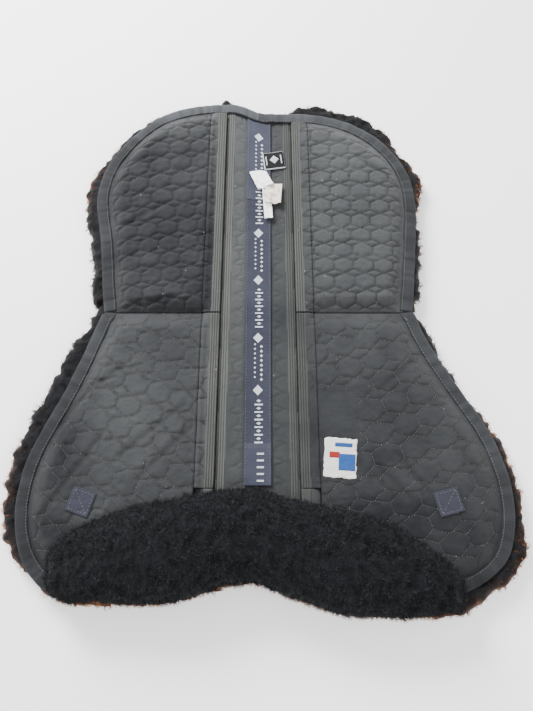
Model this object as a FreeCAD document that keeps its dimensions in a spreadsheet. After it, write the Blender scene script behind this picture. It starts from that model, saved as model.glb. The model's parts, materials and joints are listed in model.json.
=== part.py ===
import FreeCAD, Part
import math
import os
import Sketcher

# Quilted cotton half pad for a saddle, lying flat, top side up.
# Frame: +Z up, -Y towards the horse's head, +X the pad's right-hand side.
# The origin is under the middle of the pad, on the surface that the fleece rests on.
# The right-hand pieces are worked out first; the left-hand ones are their mirror images.

Vector = FreeCAD.Vector

doc = FreeCAD.newDocument("HalfPad")
sheet = doc.addObject("Spreadsheet::Sheet", "dims")

DIMENSIONS = [
    # layers, from the fleece upwards
    ("fleece_depth", 18.3, "depth of the sheepskin lining"),
    ("quilt_thickness", 5.0, "base quilt with its wadding"),
    ("panel_thickness", 4.0, "plain centre panel over the spine"),
    ("cover_thickness", 3.5, "quilted pocket cover and closure flap"),
    ("tape_thickness", 1.2, "edge binding and spine tape"),
    ("hook_thickness", 0.8, "hook strip and loop strip"),
    ("closure_gap", 0.3, "gap between the hook strip and the loop strip"),
    ("insert_clearance", 0.2, "from the loop strip's level up to the full insert"),
    ("cover_clearance", 0.3, "from the small insert up to the inside of its pocket"),
    ("full_insert_thickness", 4.0, "full correction insert"),
    ("half_insert_thickness", 3.0, "small correction insert on top of the full one"),
    ("label_thickness", 0.7, "sewn labels"),
    ("tag_thickness", 0.5, "care tags"),
    ("anchor_thickness", 1.4, "webbing square that held a girth strap"),
    # plan of the quilt, one side
    ("rear_end", 286.0, "rear edge of the quilt"),
    ("lobe_half_width", 189.0, "widest place of the rear lobe"),
    ("lobe_flat", 50.0, "half width of the straight rear edge"),
    ("lobe_round", 124.0, "how far forward the rear corner's curve reaches"),
    ("waist_half_width", 175.0, "rear lobe at the cross seam"),
    ("waist_place", 18.0, "cross seam between the rear and front pockets"),
    ("seam_gap", 8.0, "sewn valley between the rear and front covers"),
    ("binding_width", 14.0, "visible width of the edge binding"),
    ("lining_margin", 12.0, "fleece that shows outside the binding"),
    ("channel_half_width", 35.0, "half width of the spine channel between the linings"),
    # folding lines and pocket mouths
    ("fold_place", 30.0, "folding line between the centre panel and a side"),
    ("fold_gap", 0.2, "half of the gap on a folding line"),
    ("slit_place", 43.2, "slit of the closure at the cross seam"),
    ("slit_tilt", 0.72, "how much the slit turns outwards to the front, in degrees"),
    ("flange_width", 20.0, "closure flap from its slit to its hinge line"),
    ("flange_rise", 5.5, "part of the flap's width that slopes up to the hinge line"),
    ("hinge_gap", 0.3, "gap between the flap's round edge and the pocket cover"),
    ("rib_tape_width", 7.5, "ribbed tape on the spine side of the slit"),
    ("insert_setback", 20.0, "from the hinge line to an insert's leading edge"),
    ("insert_play", 1.5, "play between an insert and the inside of its pocket"),
    ("rear_flap_length", 246.0, "rear closure flap"),
    ("front_flap_length", 183.0, "front closure flap"),
    ("strip_inset", 5.0, "strip's end from the end of its flap"),
    ("strip_setback", 1.0, "hook and loop strips from the slit"),
    ("strip_allowance", 4.5, "flat of the flap that the loop strip leaves free"),
    ("flap_setback", 5.0, "closure flap's end from the cross seam"),
    # centre panel and what is sewn to it
    ("panel_front", -268.0, "front edge of the centre panel"),
    ("tape_width", 29.0, "webbing tape along the spine"),
    ("tape_rear_seam", 167.0, "rear overlap of the spine tape"),
    ("tape_front_seam", -134.0, "front overlap of the spine tape"),
    ("tape_front", -173.0, "front end of the spine tape"),
    ("tag_seam", 203.0, "stitched end of the care tags"),
    # front roll
    ("roll_height", 42.0, "height of the sheepskin roll above the quilt"),
    ("roll_half_depth", 48.0, "half of the roll's depth at the spine"),
    ("roll_centre", -222.0, "middle of the roll at the spine"),
    ("roll_half_length", 205.0, "end of the roll from the spine"),
]


def fill_sheet():
    """Put the driving dimensions in the sheet, one alias each."""
    for row, (alias, value, note) in enumerate(DIMENSIONS, 1):
        sheet.set("A%d" % row, note)
        sheet.set("B%d" % row, str(value))
        sheet.setAlias("B%d" % row, alias)
    doc.recompute()


fill_sheet()


def dim(alias):
    """The number in the sheet's cell of this name."""
    return float(sheet.get(alias))


# Levels, as expressions on the sheet, and their values.
QUILT_TOP = "dims.fleece_depth + dims.quilt_thickness"
PANEL_TOP = "dims.fleece_depth + dims.panel_thickness"
TAPE_TOP = PANEL_TOP + " + dims.tape_thickness"
LOOP_BOTTOM = QUILT_TOP + " + dims.hook_thickness + dims.closure_gap"
INSERT_BOTTOM = LOOP_BOTTOM + " + dims.insert_clearance"
HALF_INSERT_BOTTOM = INSERT_BOTTOM + " + dims.full_insert_thickness"
COVER_BOTTOM = HALF_INSERT_BOTTOM + " + dims.half_insert_thickness + dims.cover_clearance"
COVER_TOP = COVER_BOTTOM + " + dims.cover_thickness"
HINGE_LEVEL = COVER_BOTTOM + " + dims.cover_thickness / 2"


def value(expression):
    """Work an expression on the sheet out to a number."""
    return float(sheet.evalExpression(expression.replace("dims.", "")))


SIDES = {"left": -1, "right": 1}


# ---------------------------------------------------------------- outlines

def rear_edge():
    """The rear lobe's edge: straight over the spine, a quarter ellipse, then in to the waist."""
    flat = dim("lobe_flat")
    round_y = dim("lobe_round")
    round_x = dim("lobe_half_width") - flat
    corner_y = dim("rear_end") - round_y
    points = [Vector(dim("fold_place"), dim("rear_end"), 0)]
    for degrees in (0, 18, 36, 54, 72, 90):
        turn = math.radians(degrees)
        points.append(Vector(flat + round_x * math.sin(turn), corner_y + round_y * math.cos(turn), 0))
    drop = corner_y - dim("waist_place")
    narrowing = dim("lobe_half_width") - dim("waist_half_width")
    for share in (0.33, 0.67, 1.0):
        points.append(Vector(dim("lobe_half_width") - narrowing * share ** 1.5, corner_y - drop * share, 0))
    return points


def flap_edge():
    """The front flap's edge, from the waist down and round to the folding line."""
    waist_x = dim("waist_half_width") + 3
    waist_y = dim("waist_place")
    corners = [
        (0, 0),         # end of the cross seam
        (13, -36),      # straight run of the flap's rear edge
        (45, -104),
        (66, -146),
        (79, -205),     # widest place
        (76, -239),
        (65, -266),     # round lower corner
        (44, -287),
        (22, -297),
        (-13, -304),    # front edge, under the roll
        (-68, -300),
        (-118, -291),   # notch over the withers
    ]
    points = [Vector(waist_x + x, waist_y + y, 0) for x, y in corners]
    points.append(Vector(dim("fold_place"), dim("panel_front"), 0))
    return points


def moved_out(points, distance):
    """Move each point of an edge outwards; the pad lies on the right of the edge's direction."""
    moved = []
    for index, point in enumerate(points):
        before = points[max(index - 1, 0)]
        after = points[min(index + 1, len(points) - 1)]
        along = (after - before).normalize()
        moved.append(point + Vector(-along.y, along.x, 0) * distance)
    return moved


def curve(points):
    """A smooth curve through the points."""
    spline = Part.BSplineCurve()
    spline.interpolate(points)
    return spline.toShape()


def side_face(margin, inner_x):
    """Plan of a whole right side, from inner_x out to the quilt's edge plus a margin."""
    rear = moved_out(rear_edge(), margin)
    flap = moved_out(flap_edge(), margin)
    rear[0].x = inner_x
    flap[-1].x = inner_x
    edges = [curve(rear), Part.makeLine(rear[-1], flap[0]), curve(flap), Part.makeLine(flap[-1], rear[0])]
    return Part.Face(Part.Wire(edges))


def raised(face, bottom, top):
    """A solid of this plan between two levels."""
    plate = face.copy()
    plate.translate(Vector(0, 0, bottom))
    return plate.extrude(Vector(0, 0, top - bottom))


def polygon_face(points):
    """A flat face with these corners."""
    corners = [Vector(x, y, 0) for x, y in points]
    return Part.Face(Part.makePolygon(corners + corners[:1]))


def slit_x(y):
    """Place of the slit's line at a distance y along the pad."""
    return dim("slit_place") - (y - dim("waist_place")) * math.tan(math.radians(dim("slit_tilt")))


def hinge_x(y):
    """Place of the closure flap's hinge line."""
    return slit_x(y) + dim("flange_width")


FAR = 400.0     # past every edge of the pad


def rear_region(setback, seam_margin):
    """Plan area behind the cross seam and outside the hinge line moved out by setback."""
    low = dim("waist_place") + dim("seam_gap") / 2 + seam_margin
    return polygon_face([
        (hinge_x(low) + setback, low),
        (FAR, low),
        (FAR, FAR),
        (hinge_x(FAR) + setback, FAR),
    ])


def front_region(setback, seam_margin, front_margin):
    """Plan area between the cross seam and the roll, outside the hinge line moved out by setback."""
    high = dim("waist_place") - dim("seam_gap") / 2 - seam_margin
    front = [(40, -174), (100, -186), (150, -206), (182, -227), (207, -250), (216, -262), (FAR, -262)]
    corners = [(x, y + front_margin) for x, y in front]
    first = corners[0]
    corners[0] = (hinge_x(first[1]) + setback, first[1])
    return polygon_face(corners + [(FAR, high), (hinge_x(high) + setback, high)])


# ------------------------------------------------------------ making pieces

def put(name, side, shape):
    """Keep a free-form piece: the right-hand shape, mirrored for the left."""
    if side < 0:
        shape = shape.mirror(Vector(0, 0, 0), Vector(1, 0, 0))
    piece = doc.addObject("Part::Feature", name)
    piece.Label = name
    piece.Shape = shape
    piece.Placement = FreeCAD.Placement()
    return piece


def origin_plane(body, role):
    """One of the body's own origin planes."""
    return [feature for feature in body.Origin.OriginFeatures if feature.Role == role][0]


def new_body(name, role):
    """A body with one empty sketch on an origin plane."""
    body = doc.addObject("PartDesign::Body", name)
    body.Label = name
    sketch = body.newObject("Sketcher::SketchObject", name + "_sketch")
    sketch.AttachmentSupport = [(origin_plane(body, role), "")]
    sketch.MapMode = "FlatFace"
    return body, sketch


def pad_sketch(body, sketch, thickness):
    """Pad the sketch along its normal by an expression."""
    pad = body.newObject("PartDesign::Pad", body.Name + "_pad")
    pad.Profile = sketch
    pad.setExpression("Length", thickness)
    return pad


def place(body, across, along, level, turn=0.0):
    """Put a body at expressions for X, Y and Z, turned about the upright axis."""
    body.Placement = FreeCAD.Placement(Vector(), FreeCAD.Rotation(Vector(0, 0, 1), turn))
    body.setExpression("Placement.Base.x", across)
    body.setExpression("Placement.Base.y", along)
    body.setExpression("Placement.Base.z", level)


def plate(name, width, length, thickness, corner=None):
    """A flat rectangular piece, centred in plan, its underside at its own zero level."""
    body, sketch = new_body(name, "XY_Plane")
    corners = [(-1, -1), (1, -1), (1, 1), (-1, 1)]
    for index, (x, y) in enumerate(corners):
        next_x, next_y = corners[(index + 1) % 4]
        sketch.addGeometry(Part.LineSegment(Vector(x, y, 0), Vector(next_x, next_y, 0)), False)
    for index in range(4):
        sketch.addConstraint(Sketcher.Constraint("Coincident", index, 2, (index + 1) % 4, 1))
        kind = "Horizontal" if index % 2 == 0 else "Vertical"
        sketch.addConstraint(Sketcher.Constraint(kind, index))
    sketch.addConstraint(Sketcher.Constraint("Symmetric", 0, 1, 2, 1, -1, 1))
    for index, text in ((0, width), (1, length)):
        kind = "DistanceX" if index == 0 else "DistanceY"
        number = sketch.addConstraint(Sketcher.Constraint(kind, index, 1, index, 2, 2.0))
        sketch.setExpression("Constraints[%d]" % number, text)
    pad = pad_sketch(body, sketch, thickness)
    if corner:
        doc.recompute()
        upright = []
        for number, edge in enumerate(pad.Shape.Edges, 1):
            ends = [vertex.Point for vertex in edge.Vertexes]
            if abs(ends[0].z - ends[1].z) > 0.1:
                upright.append("Edge%d" % number)
        fillet = body.newObject("PartDesign::Fillet", name + "_corners")
        fillet.Base = (pad, upright)
        fillet.Radius = corner
    return body


# ------------------------------------------------------------- centre panel

def rear_binding_centre():
    """Folded tape over the rear edge of the centre panel."""
    half = dim("fold_place") - dim("fold_gap")
    tape = dim("tape_thickness")
    width = dim("binding_width")
    rear = dim("rear_end")
    bottom = dim("fleece_depth")
    thick = dim("panel_thickness")
    outer = Part.makeBox(2 * half, width + tape, thick + 2 * tape, Vector(-half, rear - width, bottom - tape))
    return outer.cut(Part.makeBox(2 * half, width, thick, Vector(-half, rear - width, bottom)))


def make_centre():
    """The centre panel, its tape in three lengths, its label, and the rear binding."""
    body = plate("spine_panel", "2 * (dims.fold_place - dims.fold_gap)",
                 "dims.rear_end - dims.panel_front", "dims.panel_thickness")
    place(body, "0", "(dims.rear_end + dims.panel_front) / 2", "dims.fleece_depth")
    spans = {
        "spine_tape_rear": ("(dims.rear_end - dims.binding_width - 0.5)", "dims.tape_rear_seam"),
        "spine_tape_middle": ("dims.tape_rear_seam", "dims.tape_front_seam"),
        "spine_tape_front": ("dims.tape_front_seam", "dims.tape_front"),
    }
    for name, (rear, front) in spans.items():
        body = plate(name, "dims.tape_width", "%s - %s" % (rear, front), "dims.tape_thickness")
        place(body, "0", "(%s + %s) / 2" % (rear, front), PANEL_TOP)
    put("rear_binding_centre", 1, rear_binding_centre())
    body = plate("size_label", "27", "24", "dims.label_thickness")
    place(body, "14", "216", TAPE_TOP, -8)


def make_tags():
    """Three care tags sewn in at one end, lying on each other towards the front."""
    tags = [
        # name, width, length, middle across the pad
        ("care_tag_narrow", 12.0, 66.0, 12.0),
        ("care_tag_wide", 24.0, 46.0, 16.5),
        ("care_tag_short", 32.0, 27.0, 1.5),
    ]
    for layer, (name, width, length, across) in enumerate(tags):
        body = plate(name, str(width), str(length), "dims.tag_thickness")
        level = TAPE_TOP + " + 0.3 + %d * dims.tag_thickness" % layer
        place(body, str(across), "dims.tag_seam - %g" % (length / 2), level)


# -------------------------------------------------------------- soft layers

def lining():
    """Sheepskin lining of one side, clear of the spine."""
    return raised(side_face(dim("lining_margin"), dim("channel_half_width")), 0, dim("fleece_depth"))


def base_quilt():
    """Base quilt of one side, stepped under its edge for the binding."""
    inner_x = dim("fold_place") + dim("fold_gap")
    bottom = dim("fleece_depth")
    step = bottom + dim("tape_thickness")
    upper = raised(side_face(0, inner_x), step, value(QUILT_TOP))
    lower = raised(side_face(-dim("binding_width"), inner_x), bottom, step)
    return upper.fuse(lower).removeSplitter()


def binding():
    """Folded tape round the edge of one side, legs above and below the quilt."""
    inner_x = dim("fold_place") + dim("fold_gap")
    tape = dim("tape_thickness")
    bottom = dim("fleece_depth")
    top = value(QUILT_TOP) + tape
    outer = raised(side_face(tape, inner_x), bottom, top)
    quilt = raised(side_face(0, inner_x), bottom + tape, top - tape)
    inner = raised(side_face(-dim("binding_width"), inner_x - 5), bottom - 1, top + 1)
    return outer.cut(quilt).cut(inner)


def cut_binding():
    """The binding's rear length, and its front length that ends beside the roll."""
    whole = binding()
    seam = dim("waist_place")
    gap = 0.5
    rear_box = Part.makeBox(FAR, FAR, 100, Vector(0, seam + gap, 0))
    roll_end = dim("roll_half_length") + 3
    front_box = Part.makeBox(FAR, FAR, 100, Vector(roll_end, seam - gap - FAR, 0))
    waist_box = Part.makeBox(FAR, 150, 100, Vector(150, seam - gap - 150, 0))
    return whole.common(rear_box), whole.common(front_box.fuse(waist_box))


def cover(region_at):
    """A quilted pocket cover: a shallow tray, upside down, open towards the spine."""
    thick = dim("cover_thickness")
    inset = -dim("binding_width") - dim("hinge_gap")
    edge = dim("cover_thickness") / 2 + dim("hinge_gap")
    low = value(QUILT_TOP)
    outside = raised(side_face(inset, 40).common(region_at(edge, 0)), low, value(COVER_TOP))
    inside = raised(side_face(inset - thick, 40).common(region_at(-10, thick)), low, value(COVER_BOTTOM))
    return outside.cut(inside)


def full_insert(region):
    """A felt insert cut to the inside of its pocket."""
    inset = -dim("binding_width") - dim("hinge_gap") - dim("cover_thickness") - dim("insert_play")
    bottom = value(INSERT_BOTTOM)
    return raised(side_face(inset, 40).common(region), bottom, bottom + dim("full_insert_thickness"))


def roll_section(x, middle, half_depth, height):
    """A flat-bottomed arch across the roll."""
    low = value(QUILT_TOP)
    centre = Vector(x, middle, low)
    arch = Part.Ellipse(Vector(x, middle + half_depth, low), Vector(x, middle, low + height), centre)
    rear = Vector(x, middle + half_depth, low)
    front = Vector(x, middle - half_depth, low)
    upper = Part.ArcOfEllipse(arch, 0, math.pi).toShape()
    return Part.Wire([upper, Part.makeLine(front, rear)])


def roll(first_x, last_share):
    """The roll from first_x to a share of its half length, as it follows the withers notch."""
    height = dim("roll_height")
    depth = dim("roll_half_depth")
    centre = dim("roll_centre")
    shapes = [
        # share of the half length, shift to the front, share of depth, share of height
        (0.0, 0.0, 1.0, 1.0),
        (0.15, 1.5, 1.0, 1.0),
        (0.37, 12.0, 1.06, 1.02),
        (0.59, 23.5, 1.01, 0.98),
        (0.78, 34.0, 0.85, 0.86),
        (0.92, 43.0, 0.62, 0.66),
        (1.0, 48.0, 0.32, 0.33),
    ]
    sections = []
    for share, shift, depth_share, height_share in shapes:
        x = share * dim("roll_half_length")
        if first_x <= x and share <= last_share:
            sections.append(roll_section(x, centre - shift, depth * depth_share, height * height_share))
    return sections


def side_roll():
    """The roll over one side, from the folding line to its rounded end."""
    start = dim("fold_place") + dim("fold_gap")
    first = roll_section(start, dim("roll_centre") - 1.5, dim("roll_half_depth"), dim("roll_height"))
    return Part.makeLoft([first] + roll(start + 1, 1.0), True, False)


def middle_roll():
    """The roll over the centre panel."""
    half = dim("fold_place") - dim("fold_gap")
    ends = []
    for x, shift in ((-half, 1.5), (0, 0), (half, 1.5)):
        ends.append(roll_section(x, dim("roll_centre") - shift, dim("roll_half_depth"), dim("roll_height")))
    return Part.makeLoft(ends, True, False)


# ------------------------------------------------------- closures and inserts

def flap(name, side, length):
    """A closure flap: flat on the strip, then sloping up to its rounded hinge edge."""
    body, sketch = new_body(name, "XZ_Plane")
    thick = dim("cover_thickness")
    drop = value(HINGE_LEVEL) - value(LOOP_BOTTOM) - dim("hook_thickness") - thick / 2
    slope = Vector(dim("flange_rise"), -drop, 0).normalize()
    normal = Vector(-slope.y, slope.x, 0) * (thick / 2)
    top_end = slope * (-thick / 2) + normal
    low_end = slope * (-thick / 2) - normal
    top_bend = top_end + slope * ((top_end.y + drop - thick / 2) / -slope.y)
    low_bend = low_end + slope * ((low_end.y + drop + thick / 2) / -slope.y)
    tip = dim("flange_width") - dim("closure_gap")
    corners = [
        top_end,
        low_end,
        low_bend,
        Vector(tip, -drop - thick / 2, 0),
        Vector(tip, -drop + thick / 2, 0),
        top_bend,
    ]
    outline = [Vector(-side * corner.x, corner.y, 0) for corner in corners]
    for index, corner in enumerate(outline):
        sketch.addGeometry(Part.LineSegment(corner, outline[(index + 1) % 6]), False)
    for index in range(6):
        sketch.addConstraint(Sketcher.Constraint("Coincident", index, 2, (index + 1) % 6, 1))
    pad = pad_sketch(body, sketch, length)
    pad.Midplane = True
    doc.recompute()
    round_edges = []
    for number, edge in enumerate(pad.Shape.Edges, 1):
        ends = [vertex.Point for vertex in edge.Vertexes]
        middle = (ends[0] + ends[1]) * 0.5
        if abs(ends[0].y - ends[1].y) > 1 and Vector(middle.x, 0, middle.z).Length < thick:
            round_edges.append("Edge%d" % number)
    fillet = body.newObject("PartDesign::Fillet", name + "_hinge_edge")
    fillet.Base = (pad, round_edges)
    fillet.Radius = thick / 2 - 0.01
    return body


def along_slit(body, side, from_slit, middle, level):
    """Put a strip beside the slit's line, turned with it; from_slit is an expression."""
    across = "%d * (dims.slit_place - (%s - dims.waist_place) * tan(dims.slit_tilt * 1 deg) + (%s))" % (
        side, middle, from_slit)
    place(body, across, middle, level, side * dim("slit_tilt"))


def make_closure(side_name, side, end_name, middle, length):
    """The flap, loop strip and hook strip of one pocket."""
    name = side_name + "_" + end_name
    strip_width = "dims.flange_width - dims.flange_rise - dims.strip_allowance"
    strip_middle = "(%s) / 2 + dims.strip_setback" % strip_width
    strip_length = length + " - 2 * dims.strip_inset"
    body = flap(name + "_flap", side, length)
    along_slit(body, side, "dims.flange_width", middle, HINGE_LEVEL)
    body = plate(name + "_loop_strip", strip_width, strip_length, "dims.hook_thickness")
    along_slit(body, side, strip_middle, middle, LOOP_BOTTOM)
    body = plate(name + "_hook_strip", strip_width, strip_length, "dims.hook_thickness")
    along_slit(body, side, strip_middle, middle, QUILT_TOP)


HALF_INSERTS = {
    # width, length, middle across the pad, middle along it
    "rear": (62, 150, 122, 125),
    "front": (72, 120, 128, -90),
}
HALF_INSERT_CORNER = 12


def make_side(side_name, side):
    """Every piece of one side of the pad."""
    put(side_name + "_lining", side, lining())
    put(side_name + "_base_quilt", side, base_quilt())
    rear, front = cut_binding()
    put(side_name + "_rear_binding", side, rear)
    put(side_name + "_front_binding", side, front)
    put(side_name + "_roll", side, side_roll())

    put(side_name + "_rear_cover", side, cover(rear_region))
    put(side_name + "_front_cover", side, cover(lambda setback, margin: front_region(setback, margin, margin)))

    setback = dim("insert_setback")
    margin = dim("cover_thickness") + dim("insert_play")
    put(side_name + "_rear_full_insert", side, full_insert(rear_region(setback, margin)))
    # The front insert's own front edge is straight, so that it can be drawn out past the roll.
    straight = polygon_face([(0, -168), (FAR, -168), (FAR, 60), (0, 60)])
    front_area = front_region(setback, margin, margin).common(straight)
    put(side_name + "_front_full_insert", side, full_insert(front_area))
    for end_name, (width, length, across, along) in HALF_INSERTS.items():
        small = plate("%s_%s_half_insert" % (side_name, end_name), str(width), str(length),
                      "dims.half_insert_thickness", HALF_INSERT_CORNER)
        place(small, str(side * across), str(along), HALF_INSERT_BOTTOM)

    rear_middle = "(dims.waist_place + dims.flap_setback + dims.rear_flap_length / 2)"
    front_middle = "(dims.waist_place - dims.flap_setback - dims.front_flap_length / 2)"
    make_closure(side_name, side, "rear", rear_middle, "dims.rear_flap_length")
    make_closure(side_name, side, "front", front_middle, "dims.front_flap_length")
    rib_length = "(dims.rear_end - dims.binding_width - 1 - dims.tape_front)"
    rib_middle = "((dims.rear_end - dims.binding_width - 1 + dims.tape_front) / 2)"
    ribs = plate(side_name + "_rib_tape", "dims.rib_tape_width", rib_length, "dims.hook_thickness")
    along_slit(ribs, side, "-dims.rib_tape_width / 2 - 0.8", rib_middle, QUILT_TOP)

    anchor = plate(side_name + "_strap_anchor", "25", "25", "dims.anchor_thickness", 1.5)
    place(anchor, str(side * 186), "-189", COVER_TOP, -6 * side - 6)
    if side > 0:
        label = plate("sewn_label", "33", "43", "dims.label_thickness")
        place(label, "85.5", "-145", COVER_TOP, -4)


# ------------------------------------------------------------------- writing

def check_document():
    """Stop if any object failed, or if a piece's shape is empty or not valid."""
    doc.recompute()
    for thing in doc.Objects:
        if "Invalid" in thing.State or "Error" in thing.State:
            raise RuntimeError("%s did not compute" % thing.Label)
    pieces = [thing for thing in doc.Objects if thing.TypeId in ("PartDesign::Body", "Part::Feature")]
    for piece in pieces:
        if piece.Shape.isNull() or not piece.Shape.isValid() or not piece.Shape.Solids:
            raise RuntimeError("%s has no valid solid" % piece.Label)
    return pieces


def write_pieces(pieces):
    """Write one STEP file for each piece."""
    os.makedirs("parts", exist_ok=True)
    for piece in pieces:
        piece.Shape.exportStep("parts/%s.step" % piece.Label)
        box = piece.Shape.BoundBox
        print("%-26s %8.0f mm3  x %7.1f %7.1f  y %7.1f %7.1f  z %5.1f %5.1f" % (
            piece.Label, piece.Shape.Volume, box.XMin, box.XMax, box.YMin, box.YMax, box.ZMin, box.ZMax))
    print(len(pieces), "pieces")


make_centre()
make_tags()
put("roll_middle", 1, middle_roll())
for side_name, side in SIDES.items():
    make_side(side_name, side)
write_pieces(check_document())
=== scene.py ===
"""Looks of the quilted half pad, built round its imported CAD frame.

Arrays are in millimetres in the row frame; new_piece turns them into metres.
A side's shapes are worked out on the right (x above 0) and mirrored for the left.
"""
import json
import math

import bpy
import numpy as np
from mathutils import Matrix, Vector


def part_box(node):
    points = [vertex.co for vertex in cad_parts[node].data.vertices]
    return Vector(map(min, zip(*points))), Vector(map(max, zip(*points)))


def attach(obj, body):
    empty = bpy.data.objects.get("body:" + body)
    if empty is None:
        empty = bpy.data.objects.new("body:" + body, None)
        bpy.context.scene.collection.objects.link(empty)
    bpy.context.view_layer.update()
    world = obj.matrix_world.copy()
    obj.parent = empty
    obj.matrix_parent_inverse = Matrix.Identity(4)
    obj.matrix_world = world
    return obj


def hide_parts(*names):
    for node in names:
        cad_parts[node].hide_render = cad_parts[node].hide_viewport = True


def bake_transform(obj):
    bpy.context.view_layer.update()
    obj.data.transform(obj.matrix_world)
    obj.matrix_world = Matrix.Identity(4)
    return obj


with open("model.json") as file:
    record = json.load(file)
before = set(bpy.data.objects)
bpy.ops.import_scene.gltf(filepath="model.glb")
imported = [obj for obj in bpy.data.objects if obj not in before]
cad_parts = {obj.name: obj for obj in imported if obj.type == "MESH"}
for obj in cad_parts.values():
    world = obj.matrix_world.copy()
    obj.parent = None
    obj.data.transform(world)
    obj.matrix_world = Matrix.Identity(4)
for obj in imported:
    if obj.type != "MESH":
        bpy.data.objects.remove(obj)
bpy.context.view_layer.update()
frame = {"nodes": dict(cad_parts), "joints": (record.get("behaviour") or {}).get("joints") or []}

MM = 0.001
SIDES = {"left": -1, "right": 1}


# ------------------------------------------------------------------ small help

def smooth(low, high, value):
    """0 below low, 1 above high, and a smooth step between them."""
    share = np.clip((value - low) / (high - low), 0, 1)
    return share * share * (3 - 2 * share)


def lattice(ix, iy, iz, seed):
    """A repeatable number from 0 to 1 for each whole-number place."""
    with np.errstate(over="ignore"):
        mixed = (ix * 374761393 + iy * 668265263 + iz * 2147483647 + seed * 1274126177) & 0xFFFFFFFF
        mixed = ((mixed ^ (mixed >> 13)) * 1274126177) & 0xFFFFFFFF
        mixed = ((mixed ^ (mixed >> 16)) * 2246822519) & 0xFFFFFFFF
    return ((mixed ^ (mixed >> 15)) & 0xFFFFF) / float(0xFFFFF)


def noise(x, y, z=0.0, seed=0):
    """Smooth noise from -1 to 1, with features about one unit across."""
    x, y, z = np.broadcast_arrays(np.asarray(x, float), np.asarray(y, float), np.asarray(z, float))
    ix, iy, iz = (np.floor(a).astype(np.int64) for a in (x, y, z))
    fx, fy, fz = x - ix, y - iy, z - iz
    fx, fy, fz = (f * f * (3 - 2 * f) for f in (fx, fy, fz))
    total = 0
    for dx, wx in ((0, 1 - fx), (1, fx)):
        for dy, wy in ((0, 1 - fy), (1, fy)):
            for dz, wz in ((0, 1 - fz), (1, fz)):
                total = total + lattice(ix + dx, iy + dy, iz + dz, seed) * wx * wy * wz
    return total * 2 - 1


def distance_to(points, line, nearest=False):
    """Distance of each plan point from a polyline, or its nearest point on it."""
    best = np.full(len(points), 1e18)
    found = np.zeros_like(points)
    for start, end in zip(line[:-1], line[1:]):
        along = end - start
        share = np.clip(((points - start) @ along) / max(along @ along, 1e-12), 0, 1)
        place = start + share[:, None] * along
        gap = ((points - place) ** 2).sum(axis=1)
        closer = gap < best
        best[closer] = gap[closer]
        found[closer] = place[closer]
    return found if nearest else np.sqrt(best)


def inside(points, polygon):
    """Which plan points lie inside a closed polygon."""
    result = np.zeros(len(points), bool)
    x, y = points[:, 0], points[:, 1]
    for (ax, ay), (bx, by) in zip(polygon, np.roll(polygon, -1, axis=0)):
        if ay != by:
            result ^= ((ay > y) != (by > y)) & (x < (bx - ax) * (y - ay) / (by - ay) + ax)
    return result


def clipped(polygon, point, normal):
    """The part of a polygon on the side of a line that the normal points to."""
    kept = []
    heights = (polygon - np.array(point)) @ np.array(normal)
    for index in range(len(polygon)):
        here, there = heights[index], heights[(index + 1) % len(polygon)]
        if here >= 0:
            kept.append(polygon[index])
        if (here >= 0) != (there >= 0):
            share = here / (here - there)
            kept.append(polygon[index] + (polygon[(index + 1) % len(polygon)] - polygon[index]) * share)
    return np.array(kept)


def lengths_along(line):
    """How far along a polyline each of its points is."""
    return np.concatenate([[0], np.cumsum(np.linalg.norm(np.diff(line, axis=0), axis=1))])


def spaced(line, step):
    """The polyline again, with points a step apart."""
    lengths = lengths_along(line)
    count = max(2, int(round(lengths[-1] / step)) + 1)
    places = np.linspace(0, lengths[-1], count)
    return np.column_stack([np.interp(places, lengths, line[:, axis]) for axis in (0, 1)])


def looped(line):
    """A closed loop's points, with the first one again at the end."""
    return np.vstack([line, line[:1]])


def unit(vectors):
    """Each row at length one."""
    return vectors / np.maximum(np.linalg.norm(vectors, axis=1)[:, None], 1e-6)


def left_of(along):
    """Plan directions turned a quarter to the left."""
    return np.column_stack([-along[:, 1], along[:, 0]])


def normals_of(line):
    """Unit normals of a polyline, to the left of its direction."""
    return left_of(unit(np.gradient(line, axis=0)))


def repeated(pattern, size, count):
    """The faces of one small shape, again for each of count shapes of size points."""
    pattern = np.array(pattern)
    return (np.arange(count)[:, None, None] * size + pattern[None]).reshape(-1, pattern.shape[1])


# --------------------------------------------------------------- making meshes

def settled(points, roll):
    """How the soft pad has been pushed out of true where it lies, on its real left and right."""
    points = np.array(points, float)
    x, y = points[:, 0].copy(), points[:, 1].copy()
    if roll:
        points[:, 1] += 11 * smooth(65, 178, -x) + 4 * smooth(180, 206, -x)
        points[:, 1] -= 9.5 * smooth(-4, 36, x) - 4 * smooth(85, 125, x)
        points[:, 0] -= 5 * smooth(120, 200, x)
        return points
    front = (1 - smooth(-120, 5, y)) * smooth(-288, -238, y)
    rear = smooth(110, 250, y)
    points[:, 0] += (10 * smooth(60, 200, x) + 6 * smooth(60, 190, -x)) * front
    points[:, 0] -= 7 * smooth(60, 160, -x) * smooth(95, 180, y)
    shift = 14 * rear * smooth(-10, 34, -x) * (1 - 0.75 * smooth(108, 165, -x))
    points[:, 1] += shift
    # the slit and the hinge line stay on their own lines
    points[:, 0] += TILT * shift * smooth(30, 45, -x)
    return points


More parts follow.
